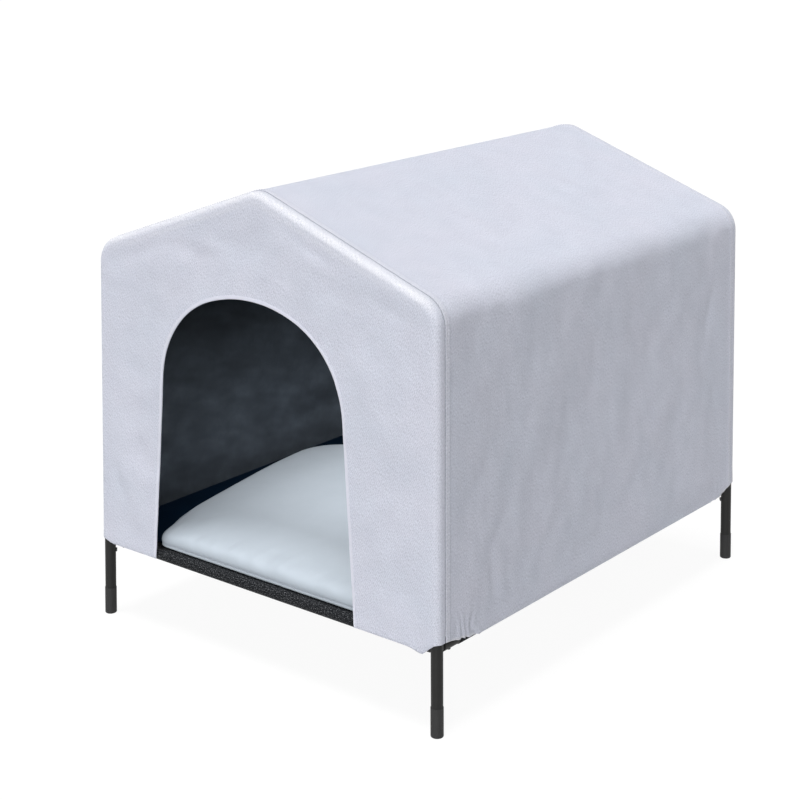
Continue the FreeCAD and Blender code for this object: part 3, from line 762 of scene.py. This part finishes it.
def gable_edge(end):
    """Rows from the seam round the gable's edge to its flat face, with unrolled cloth."""
    outline, normal = GABLE.at(ALONG)
    straight = np.array([0.0, 0.0008, 0.0020, 0.0040, SEAM_SETBACK - GABLE_EDGE])
    turns = np.radians(np.arange(15, 91, 15))
    depths = np.concatenate([SEAM_SETBACK - straight, GABLE_EDGE * (1 - np.sin(turns))])
    insets = np.concatenate([0 * straight, GABLE_EDGE * (1 - np.cos(turns))])
    run = np.concatenate([straight, straight[-1] + GABLE_EDGE * turns])
    flat = outline[None] - normal[None] * insets[:, None, None]
    places = stand(flat, end * (half_length(flat[..., 1]) - depths[:, None]))
    cloth = flat[-1][None] + normal[None] * (run[-1] - run)[:, None, None]
    tuck = np.interp(run, straight[:2], [-SEAM_TUCK, 0])
    places += stand(normal, np.zeros(flat.shape[:2])) * tuck[:, None, None]
    return places, cloth


def gable_slack(places, inset, seed):
    """How far a gable's cloth stands off its plane: soft waves away from the tubes."""
    return slack_cloth(places, seed) * smooth(inset, 0.006, 0.05) * smooth(places[..., 2] - HEM, 0.01, 0.06)


def room_behind(places, inset):
    """How far a gable's cloth may go inward before it meets a tube or the bed."""
    open_cloth = smooth(inset, 0.03, 0.08) * smooth(places[..., 2] - HEM, 0.03, 0.07)
    return SIDE_ROOM + GABLE_ROOM * open_cloth


def door_beside():
    """Places on the doorway's edge that face each column of the gable outline."""
    jamb = DOOR.lengths[1]
    knots = [0, 0.36, WALL + EAVE / 2, GABLE.length / 2]
    door_knots = [0, jamb, jamb + 0.09, DOOR.length / 2]
    knots += [GABLE.length - k for k in knots[-2::-1]]
    door_knots += [DOOR.length - k for k in door_knots[-2::-1]]
    return DOOR.at(np.interp(ALONG, knots, door_knots))[0]


def make_front():
    """Front panel: a band of cloth from the gable seam to the doorway."""
    edge, edge_cloth = gable_edge(-1)
    door = door_beside()
    start = edge[-1][:, [0, 2]]
    share = np.concatenate([np.linspace(0, 1, 26)[1:-1], [0.975, 0.99, 1.0]])[:, None, None]
    flat = start[None] * (1 - share) + door[None] * share
    places = np.concatenate([edge, stand(flat, -half_length(flat[..., 1]))])
    cloth = np.concatenate([edge_cloth, flat])
    lift_hem(places)
    inset = np.concatenate([np.zeros(edge.shape[:2]), np.linalg.norm(flat - start[None], axis=-1)])
    from_door = np.concatenate([np.ones(edge.shape[:2]), np.linalg.norm(flat - door[None], axis=-1)])
    calm = DOOR_EDGE_SLACK + (1 - DOOR_EDGE_SLACK) * smooth(from_door, 0.0, 0.05)
    offset = gable_slack(places, inset, FRONT_SEED) * calm
    offset += creases(places[..., [0, 2]], FRONT_CREASES) * smooth(inset, 0.004, 0.03)
    offset += hem_band(FROM_HEM)[None] * smooth(inset, -0.001, 0.002)
    places[..., 1] -= np.maximum(offset, -room_behind(places, inset))
    rows, columns = places.shape[:2]
    on_roof = smooth(FROM_HEM, WALL + 0.3 * EAVE, WALL + EAVE)
    # Painted highlight near the roof and on the folded gable edge, brighter toward the roof, and a painted
    # shade line in the seam row
    painted_light = 0.55 * on_roof * (1 - smooth(inset, 0.0, 0.010))
    painted_light[:len(edge)] = EDGE_HIGHLIGHT[:, None] * (0.12 + 0.70 * on_roof)
    painted_light[0] = -1
    faces = grid_faces(rows, columns)[:, ::-1]
    piece = new_piece("cover_front", places, faces, COVER_SIDES, cloth, painted_light)
    outward = np.broadcast_to(np.array([0.0, -1.0, 0.0]), (rows - len(edge), 3))
    for line in HEM_COLUMNS:
        STITCHED.append((places[len(edge):, line], outward, HEM_STITCH_RADIUS))
    return give_thickness(piece, CLOTH, 1), cloth_area(piece), places


def gable_grid(rim):
    """Grid over the whole gable inside its rim, rows from the hem up, and its left edge."""
    corner = nearest(ALONG, WALL + EAVE / 2)
    left, top, right = rim[:corner + 1], rim[corner:len(rim) - corner], rim[::-1][:corner + 1]
    up = np.linspace(0, 1, len(left))[:, None, None]
    over = np.linspace(0, 1, len(top))[None, :, None]
    bottom = left[0] * (1 - over) + right[0] * over
    corners = (1 - up) * bottom + up * (top[0] * (1 - over) + top[-1] * over)
    sides = (1 - over) * left[:, None] + over * right[:, None]
    return (1 - up) * bottom + up * top[None] + sides - corners, left


def make_rear():
    """Rear panel: a whole gable inside the same rounded edge."""
    edge, edge_cloth = gable_edge(1)
    flat, left = gable_grid(edge[-1][:, [0, 2]])
    face = stand(flat, half_length(flat[..., 1]))
    for places in (edge, face):
        lift_hem(places)
    x, z = np.abs(face[..., 0]), face[..., 2]
    inset = np.minimum(HALF_WIDTH - x - LEAN_SLOPE * (z - HEM), RIDGE - z - math.tan(PITCH) * x)
    offset = gable_slack(face, inset - GABLE_EDGE, REAR_SEED)
    offset += creases(face[..., [0, 2]], REAR_CREASES) * smooth(inset, 0.015, 0.06)
    from_hem = np.linalg.norm(left - left[0], axis=-1)
    sag = REAR_SAG * smooth(inset, 0.02, 0.22) * smooth(z - HEM, 0.02, 0.2)
    face[..., 1] += np.maximum(offset, -room_behind(face, inset)) - sag + hem_band(from_hem)[:, None]
    rows, columns = edge.shape[:2]
    places = np.concatenate([edge.reshape(-1, 3), face.reshape(-1, 3)])
    cloth = np.concatenate([edge_cloth.reshape(-1, 2), flat.reshape(-1, 2)])
    inner = grid_faces(*face.shape[:2], start=rows * columns)[:, ::-1]
    faces = np.concatenate([grid_faces(rows, columns), inner])
    # Painted highlight on the rear's folded edge and a painted shade line in its seam row
    painted_light = np.zeros(len(places))
    painted_light[:rows * columns] = np.repeat(REAR_HIGHLIGHT * EDGE_HIGHLIGHT, columns)
    painted_light[:columns] = -1
    piece = new_piece("cover_rear", places, faces, COVER_SIDES, cloth, painted_light)
    weld(piece, 0.0009)
    row = nearest(from_hem, HEM_STITCH)
    outward = np.broadcast_to(np.array([0.0, 1.0, 0.0]), face[row].shape)
    STITCHED.append((face[row], outward, HEM_STITCH_RADIUS))
    return give_thickness(piece, CLOTH, 1), cloth_area(piece)


def weld(piece, distance):
    """Joins vertices that lie this close together."""
    piece.modifiers.new("weld", "WELD").merge_threshold = distance
    seen = piece.evaluated_get(bpy.context.evaluated_depsgraph_get())
    mesh = bpy.data.meshes.new_from_object(seen)
    old = piece.data
    piece.modifiers.clear()
    piece.data = mesh
    bpy.data.meshes.remove(old)


def make_binding(front):
    """Tape folded round the doorway's edge."""
    edge = front[-1]
    inward = unit(front[-4] - edge)
    along = unit(np.gradient(edge, axis=0))
    out = unit(np.cross(along, inward))
    out *= np.sign(-out[:, 1:2])
    inward = unit(inward - out * np.sum(inward * out, -1, keepdims=True))
    across, proud = TAPE_SECTION[None, :, :1], TAPE_SECTION[None, :, 1:]
    places = edge[:, None] + inward[:, None] * across + out[:, None] * proud
    cloth = np.stack(np.broadcast_arrays(run_lengths(edge)[:, None], run_lengths(TAPE_SECTION)[None]), -1)
    rows, columns = places.shape[:2]
    faces = [list(f) for f in grid_faces(rows, columns, around=True)[:, ::-1]]
    faces += [list(range(columns)), list(range(rows * columns - 1, (rows - 1) * columns - 1, -1))]
    STITCHED.append((places[:, TAPE_GROOVE], out, HEM_STITCH_RADIUS))
    return new_piece("doorway_tape", places, faces, [DOOR_TAPE], cloth)


def make_stitches(name, lines, material):
    """Short raised threads along each line of sewing, of the radius given with it."""
    along, across, proud = STITCH_CORNERS.T[..., None]
    places, faces = [], []
    for line, outward, radius in lines:
        lengths = run_lengths(line)
        count = max(2, int(lengths[-1] / STITCH_PITCH))
        centres = (np.arange(count) + 0.5) * lengths[-1] / count
        def read(values, at):
            return np.stack([np.interp(at, lengths, v) for v in values.T], -1)[:, None]
        ahead = unit(read(line, centres + STITCH_LENGTH / 2) - read(line, centres - STITCH_LENGTH / 2))
        out = unit(read(outward, centres))
        side = unit(np.cross(ahead, out))
        corners = ahead * STITCH_LENGTH * along + (side * across + out * proud) * radius
        places.append((read(line, centres) + corners).reshape(-1, 3))
    places = np.concatenate(places)
    for start in range(0, len(places), len(STITCH_CORNERS)):
        for k, after in ((1, 2), (2, 3), (3, 4), (4, 1)):
            faces.append([start, start + after, start + k])
            faces.append([start + k, start + after, start + after + 4, start + k + 4])
            faces.append([start + 9, start + k + 4, start + after + 4])
    return new_piece(name, places, faces, [material])


cover_side, side_area = make_side_and_roof()
cover_front, front_area, front_places = make_front()
cover_rear, rear_area = make_rear()
doorway_tape = make_binding(front_places)
cover_stitches = make_stitches("cover_stitches", STITCHED, PALE_THREAD)

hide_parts("cover_side_and_roof_panel")
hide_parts("cover_front_panel")
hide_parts("cover_rear_panel")
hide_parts("doorway_binding")
for piece in (cover_side, cover_front, cover_rear, doorway_tape, cover_stitches):
    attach(piece, "cover")


# Sling

RAIL_RADIUS = 0.0092
SLING_CLOTH_THICKNESS = 0.001
SLING_NOTCH = 0.046
SLING_FLAP = 0.022
SLING_SAG = 0.003
SLING_STEPS = (0.030, 0.012)
SLEEVE_LAP = [(-0.0125, -0.0050), (-0.0180, 0.0020), (-0.0240, 0.0065), (-0.0300, 0.0072)]
SLEEVE_START_RUN = 0.0027
rail_low, rail_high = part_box("right_rail")
rear_rail_low, rear_rail_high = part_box("rear_rail")
RAIL_X = (rail_low.x + rail_high.x) / 2
RAIL_Y = (rear_rail_low.y + rear_rail_high.y) / 2
RAIL_Z = (rail_low.z + rail_high.z) / 2
SLEEVE = RAIL_RADIUS + SLING_CLOTH_THICKNESS


def sleeve_section():
    """Outside of the sleeve from the deck's edge round the rail and back under the deck.

    Places are across the rail, outward first, and up from the rail's axis.
    """
    round_it = np.radians(np.arange(75, -136, -15))
    arc = SLEEVE * np.stack([np.cos(round_it), np.sin(round_it)], -1)
    end = (SLEEVE_LAP[-1][0] - SLING_FLAP, SLEEVE_LAP[-1][1])
    return np.concatenate([arc, SLEEVE_LAP, [end]])


def make_sling():
    """Deck between the rails, with a sleeve of the same cloth sewn round each."""
    open_step, edge_step = SLING_STEPS
    halves = [graded([(rail - SLING_NOTCH, open_step), (rail, edge_step)]) for rail in (RAIL_X, RAIL_Y)]
    xs, ys = (np.concatenate([-half[:0:-1], half]) for half in halves)
    x, y = np.meshgrid(xs, ys)
    sag = SLING_SAG * np.cos(x / RAIL_X * math.pi / 2) * np.cos(y / RAIL_Y * math.pi / 2)
    deck = np.stack([x, y, RAIL_Z + SLEEVE - sag], -1)
    inside_x = np.abs(xs) < RAIL_X - SLING_NOTCH + 1e-6
    inside_y = np.abs(ys) < RAIL_Y - SLING_NOTCH + 1e-6
    rows, columns = x.shape
    quads = grid_faces(rows, columns)
    kept = (inside_x[quads % columns].all(-1) | inside_y[quads // columns].all(-1))
    places, faces = [deck.reshape(-1, 3)], [quads[kept]]
    cloth = [deck[..., :2].reshape(-1, 2)]
    section = sleeve_section()
    profile = np.concatenate([[(0.0, SLEEVE)], section])
    run = np.append(0, SLEEVE_START_RUN + run_lengths(section))
    start = rows * columns
    pairs = ((0, ys[inside_y], RAIL_X), (1, xs[inside_x], RAIL_Y))
    sewn = []
    for axis, along, reach, side in [pair + (side,) for pair in pairs for side in (1, -1)]:
        strip = np.empty((len(along), len(profile), 3))
        strip[..., axis] = side * (reach + profile[:, 0])
        strip[..., 1 - axis] = along[:, None]
        strip[..., 2] = RAIL_Z + profile[:, 1]
        flat = np.empty(strip.shape[:2] + (2,))
        flat[..., axis] = side * (reach + run)
        flat[..., 1 - axis] = along[:, None]
        quads = grid_faces(*strip.shape[:2], start=start)
        outward = side if axis == 1 else -side
        faces.append(quads[:, ::-1] if outward > 0 else quads)
        places.append(strip.reshape(-1, 3))
        cloth.append(flat.reshape(-1, 2))
        start += strip.shape[0] * strip.shape[1]
        down = np.broadcast_to(np.array([0.0, 0.0, -1.0]), strip[:, -1].shape)
        for share in (0.15, 0.85):
            sewn.append((strip[:, -2] * (1 - share) + strip[:, -1] * share, down, STITCH_RADIUS))
    piece = new_piece("bed_sling_cloth", np.concatenate(places), np.concatenate(faces), [SLING_CLOTH],
                      np.concatenate(cloth))
    weld(piece, 0.00005)
    stitches = make_stitches("sling_stitches", sewn, BLACK_THREAD)
    return give_thickness(piece, SLING_CLOTH_THICKNESS), stitches, cloth_area(piece)


sling, sling_stitches, sling_area = make_sling()
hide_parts("bed_sling")
for piece in (sling, sling_stitches):
    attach(piece, "frame")


# Padded pieces

SWELL_FRAMES = 20
SWELL_CLOTH = {
    "quality": 6, "mass": 0.3, "tension_stiffness": 12, "compression_stiffness": 12,
    "bending_stiffness": 0.15, "use_pressure": True, "vertex_group_mass": "held",
}


def swell(piece, pressure, most, floor):
    """Inflates a case held at its seam with the cloth solver, and rests it on its floor.

    most is how far each vertex may move, and floor gives the height under it by its Y.
    """
    before = get_places(piece.data)
    resting = np.flatnonzero(before[:, 2] < floor(before[:, 1]) + 0.0006)
    piece.vertex_groups["held"].add(resting.tolist(), 1.0, "REPLACE")
    settings = piece.modifiers.new("swell", "CLOTH").settings
    for name, value in SWELL_CLOTH.items():
        setattr(settings, name, value)
    settings.uniform_pressure_force = pressure
    settings.effector_weights.gravity = 0
    for step in range(1, SWELL_FRAMES + 1):
        bpy.context.scene.frame_set(step)
    seen = piece.evaluated_get(bpy.context.evaluated_depsgraph_get())
    move = get_places(seen.data) - before
    reach = np.linalg.norm(move, axis=-1, keepdims=True)
    after = before + move * np.minimum(1, most[:, None] / np.maximum(reach, 1e-9))
    piece.modifiers.clear()
    bpy.context.scene.frame_set(1)
    after[:, 2] = np.maximum(after[:, 2], floor(after[:, 1]))
    set_places(piece.data, after)


def sewn_case(name, over, top, under, bottom, material):
    """Closed case of a top and a bottom sheet that share their sewn edge.

    over and under give the sheets' plan places on a square grid that meet at its
    rim, and top and bottom their heights. Also gives each vertex's place on the grid.
    """
    rows, columns = over.shape[:2]
    upper = np.concatenate([over, top[..., None]], -1).reshape(-1, 3)
    lower = np.concatenate([under, bottom[..., None]], -1).reshape(-1, 3)
    index = np.arange(rows * columns).reshape(rows, columns)
    below = index + rows * columns
    rim = np.ones((rows, columns), bool)
    rim[1:-1, 1:-1] = False
    below[rim] = index[rim]
    quads = grid_faces(rows, columns)
    faces = np.concatenate([quads, below.ravel()[quads][:, ::-1]])
    used = np.unique(faces)
    renumber = np.zeros(2 * rows * columns, int)
    renumber[used] = np.arange(len(used))
    piece = new_piece(name, np.concatenate([upper, lower])[used], renumber[faces], [material])
    piece.vertex_groups.new(name="held").add(index[rim].tolist(), 1.0, "REPLACE")
    return piece, used % (rows * columns)


mat_low, mat_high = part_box("floor_mat")
MAT_FRONT_TOP = 0.003
MAT_SLOPE_RUN = 0.052
MAT_CORNER = 0.055
MAT_INSET = 0.002
MAT_SEAM_SHARE = 0.42
MAT_EDGE = 0.010
MAT_PRESSURE = 1.5
MAT_SWELL = 0.003


def mat_floor(y):
    """Height of the sling's top, on which the mat lies."""
    return np.full(np.shape(y), mat_low.z)


def mat_surface(y):
    """Height of the mat's top by the place along it."""
    share = np.clip((y - mat_low.y) / MAT_SLOPE_RUN, 0, 1)
    return mat_low.z + MAT_FRONT_TOP + (mat_high.z - mat_low.z - MAT_FRONT_TOP) * share


def round_corners(x, y, low, high, radius):
    """Moves the corner squares of a rectangular grid into quarter discs."""
    centre = (low + high) / 2
    half = (high - low) / 2
    s = np.clip((np.abs(x - centre[0]) - half[0] + radius) / radius, 0, 1)
    t = np.clip((np.abs(y - centre[1]) - half[1] + radius) / radius, 0, 1)
    corner = (s > 0) & (t > 0)
    pull_x = np.where(corner, s - s * np.sqrt(1 - t * t / 2), 0) * radius
    pull_y = np.where(corner, t - t * np.sqrt(1 - s * s / 2), 0) * radius
    return x - np.sign(x - centre[0]) * pull_x, y - np.sign(y - centre[1]) * pull_y


def edge_distances(count_x, count_y, low, high, near):
    """Grid lines over a rectangle, with extra lines close to its edges."""
    def lines(start, stop, count):
        inner = np.linspace(start + near[-1], stop - near[-1], count)
        return np.concatenate([start + near[:-1], inner, stop - near[-2::-1]])
    return np.meshgrid(lines(low[0], high[0], count_x), lines(low[1], high[1], count_y))


EDGE_LINES = np.array([0.0, 0.0018, 0.0042, 0.0075, 0.012, 0.018])


def make_mat():
    """Padded floor mat with a sewn edge, sloped down at the doorway."""
    low, high = np.array(mat_low[:2]) + MAT_INSET, np.array(mat_high[:2]) - MAT_INSET
    square_x, square_y = edge_distances(62, 74, low, high, EDGE_LINES)
    ways = [square_x - low[0], high[0] - square_x, square_y - low[1], high[1] - square_y]
    inside = np.minimum.reduce(ways)
    x, y = round_corners(square_x, square_y, low, high, MAT_CORNER)
    thick = mat_surface(y) - mat_low.z
    seam = mat_low.z + MAT_SEAM_SHARE * thick
    bulge = np.sqrt(np.clip(1 - (1 - np.minimum(inside / MAT_EDGE, 1)) ** 2, 0, 1))
    top = seam + (mat_low.z + thick - 0.001 - seam) * bulge
    bottom = seam - (seam - mat_low.z) * bulge
    plan = np.stack([x, y], -1)
    piece, on_grid = sewn_case("floor_mat_pad", plan, top, plan, bottom, MAT_CLOTH)
    most = MAT_SWELL * smooth(inside.ravel()[on_grid], 0.004, 0.05)
    swell(piece, MAT_PRESSURE, most, mat_floor)
    return piece


CUSHION_FRONT_WIDTH = 0.456
CUSHION_FRONT_CORNER = 0.016
CUSHION_REAR_CORNER = 0.090
CUSHION_SEAM = 0.007
CUSHION_CROWN = 0.003
CUSHION_CROWN_RUN = 0.180
CUSHION_LIFT = 0.0004
CUSHION_PUCKER = 0.0034
CUSHION_OVERHANG = 0.008
CUSHION_DIP = 0.0075
CUSHION_DIP_RUN = 0.120
CUSHION_BOW = 0.012
CUSHION_PRESSURE = 4.0
CUSHION_SWELL = 0.003
CUSHION_DENT = 0.0012
SLING_GAP = 0.0003
cushion_low, cushion_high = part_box("cushion_case")
cushion_low.y -= CUSHION_OVERHANG
CUSHION_HALF = (cushion_high.x - cushion_low.x) / 2
CUSHION_LENGTH = cushion_high.y - cushion_low.y

# Section of the sewn edge by the way in from it: how far each sheet lies inside
# the outline, and how far above or below the seam
EDGE_WAY = np.array([0, 0.0018, 0.0042, 0.0075, 0.012, 0.018, 0.026])
TOP_INWARD = np.array([0.0022, 0.0006, 0, 0.0010, 0.0050, 0.0130, 0.026])
TOP_RISE = np.array([0, 0.0012, 0.0032, 0.0065, 0.0100, 0.0123, 0.0133])
LOW_INWARD = np.array([0.0022, 0.0005, 0.0002, 0.0012, 0.0050, 0.0130, 0.026])
LOW_FALL = np.array([0, 0.0010, 0.0030, 0.0052, 0.0066, 0.0070, 0.0070])


def cushion_floor(y):
    """Height of the mat's top under the cushion, and of the sling's in front of the mat."""
    return np.where(y < mat_low.y, mat_low.z - SLING_GAP, mat_surface(y)) + CUSHION_LIFT


def cushion_level(y):
    """Height on which the upper sheet lies, dipping a little to the doorway."""
    dip = 1 - smooth(y - cushion_low.y, 0.0, CUSHION_DIP_RUN)
    return mat_high.z + CUSHION_LIFT - CUSHION_DIP * dip


def beyond(way, inward):
    """Distance inside the outline: as the section has it near the edge, and the way in past it."""
    return np.where(way < EDGE_WAY[-1], np.interp(way, EDGE_WAY, inward), way)


def cushion_plan(way_x, way_y, side, inward):
    """Plan places of one sheet, from the ways in from its sides and ends."""
    x = side[0] * (CUSHION_HALF - beyond(way_x, inward))
    y = cushion_low.y + CUSHION_LENGTH / 2 + side[1] * (CUSHION_LENGTH / 2 - beyond(way_y, inward))
    corner = np.where(side[1] > 0, CUSHION_REAR_CORNER, CUSHION_FRONT_CORNER)
    x, y = round_corners(x, y, np.array(cushion_low[:2]), np.array(cushion_high[:2]), corner)
    share = np.clip((y - cushion_low.y) / (CUSHION_LENGTH - CUSHION_REAR_CORNER), 0, 1)
    narrow = CUSHION_FRONT_WIDTH / (2 * CUSHION_HALF)
    bow = np.sin(math.pi * np.clip((y - cushion_low.y) / CUSHION_LENGTH, 0, 1)) * CUSHION_BOW / CUSHION_HALF
    return np.stack([x * (narrow + (1 - narrow) * share + bow), y], -1)


def make_cushion():
    """Flat loose pillow: two sheets sewn together at a low edge, softly crowned."""
    half = np.array([CUSHION_HALF, CUSHION_LENGTH / 2])
    square_x, square_y = edge_distances(86, 76, -half, half, EDGE_WAY)
    way_x, way_y = half[0] - np.abs(square_x), half[1] - np.abs(square_y)
    side = (np.sign(square_x), np.sign(square_y))
    way = 1 / np.sqrt(1 / np.maximum(way_x, 1e-7) ** 2 + 1 / np.maximum(way_y, 1e-7) ** 2)
    way = np.where(np.minimum(way_x, way_y) < 1e-6, 0, way)
    over = cushion_plan(way_x, way_y, side, TOP_INWARD)
    under = cushion_plan(way_x, way_y, side, LOW_INWARD)
    crown = CUSHION_CROWN * (1 - (1 - np.minimum(way / CUSHION_CROWN_RUN, 1)) ** 2)
    seam = cushion_floor(over[..., 1]) + CUSHION_SEAM
    height = cushion_level(over[..., 1]) + CUSHION_SEAM + TOP_RISE[-1] - seam
    top = seam + height * np.interp(way, EDGE_WAY, TOP_RISE) / TOP_RISE[-1] + crown
    bottom = cushion_floor(under[..., 1]) + CUSHION_SEAM - np.interp(way, EDGE_WAY, LOW_FALL)
    piece, on_grid = sewn_case("cushion_pillow", over, top, under, bottom, CUSHION_CLOTH)
    most = CUSHION_SWELL * smooth(way.ravel()[on_grid], 0.012, 0.10)
    swell(piece, CUSHION_PRESSURE, most, cushion_floor)
    pucker(piece)
    return piece


def pucker(piece):
    """Gathers the upper sheet beside its front seam and lays soft dents over it."""
    places = get_places(piece.data)
    upper = places[:, 2] > cushion_floor(places[:, 1]) + CUSHION_SEAM + 0.002
    from_front = places[:, 1] - cushion_low.y
    drawn = places * np.array([1 / 0.030, 1 / 0.090, 0])
    folds = soft_waves(drawn, 1.0, 31) + 0.5 * soft_waves(2.1 * drawn, 1.0, 32)
    near = smooth(from_front, 0.001, 0.008) * (1 - smooth(from_front, 0.020, 0.075))
    dents = CUSHION_DENT * soft_waves(places * np.array([1, 1, 0]), 0.09, 33)
    lift = upper * CUSHION_PUCKER * folds * near
    places[:, 1] -= 0.6 * lift * (1 - smooth(from_front, 0.010, 0.030))
    places[:, 2] += lift + upper * dents * smooth(from_front, 0.02, 0.08)
    set_places(piece.data, places)


floor_mat = make_mat()
cushion = make_cushion()
for piece, node, body, slot, fill in (
    (floor_mat, "floor_mat", "frame", "mat_cloth", 0.5),
    (cushion, "cushion_case", "cushion", "cushion_cloth", 0.6),
):
    finer = piece.modifiers.new("finer", "SUBSURF")
    finer.levels = finer.render_levels = 1
    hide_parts(node)
    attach(piece, body)
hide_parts("cushion_core")


# Finish of the CAD nodes that show

for part in frame["record"]["subparts"]:
    node = frame["nodes"][part["node"]]
    node.data.materials.clear()
    node.data.materials.append(CAD_MATERIALS[part["material_slot"]])


# Stage, light and camera

def stage_material():
    """Pale floor that looks white to the camera and keeps soft shadows."""
    shader = Shader("studio_floor", {"Base Color": (0.60, 0.60, 0.60, 1), "Roughness": 0.9})
    glow = shader.add("ShaderNodeEmission", {"Color": WHITE, "Strength": FLOOR_WHITE})
    shader.whiten(shader.surface.outputs[0], glow, FLOOR_WHITE_SHARE, "Material Output")
    return shader.material


def make_floor():
    """Wide plane under the feet."""
    corners = [(x * FLOOR_REACH, y * FLOOR_REACH, 0) for x, y in ((-1, -1), (1, -1), (1, 1), (-1, 1))]
    floor = new_piece("studio_floor", corners, [[0, 1, 2, 3]], [stage_material()])


def make_world():
    """Even pale surroundings that look white to the camera."""
    world = bpy.data.worlds.new("studio")
    world.use_nodes = True
    nodes = Nodes(world.node_tree)
    pale = nodes.add("ShaderNodeBackground", {"Color": SKY, "Strength": SURROUNDINGS})
    white = nodes.add("ShaderNodeBackground", {"Color": WHITE, "Strength": 1.0})
    nodes.whiten(pale, white, 1.0, "World Output")
    bpy.context.scene.world = world


def make_sun(name, toward, strength, spread):
    """Wide soft light from one direction."""
    lamp = bpy.data.lights.new(name, "SUN")
    lamp.energy = strength * math.pi
    lamp.angle = math.radians(spread)
    sun = new_object(name, lamp)
    sun.rotation_euler = Vector(toward).to_track_quat("Z", "Y").to_euler()


def make_cabin_light():
    """Soft panel under the ridge that lights the bed."""
    lamp = bpy.data.lights.new("cabin", "AREA")
    lamp.shape = "RECTANGLE"
    lamp.size, lamp.size_y = CABIN_LIGHT
    lamp.spread = CABIN_LIGHT_SPREAD
    lamp.energy = CABIN_LIGHT_POWER
    panel = new_object("cabin", lamp)
    panel.location = (0, 0, RIDGE - CABIN_LIGHT_DROP)
    panel.visible_camera = False


def make_camera():
    """Camera at the photograph's place."""
    data = bpy.data.cameras.new("camera")
    data.sensor_width = CAMERA_SENSOR
    data.lens = CAMERA_LENS
    camera = new_object("camera", data)
    camera.location = CAMERA_PLACE
    camera.rotation_euler = [math.radians(turn) for turn in CAMERA_TURN]
    bpy.context.scene.camera = camera


make_floor()
make_world()
make_sun("overhead", *OVERHEAD)
make_sun("camera_fill", *CAMERA_FILL)
make_cabin_light()
make_camera()
bpy.context.scene.view_settings.view_transform = "Standard"
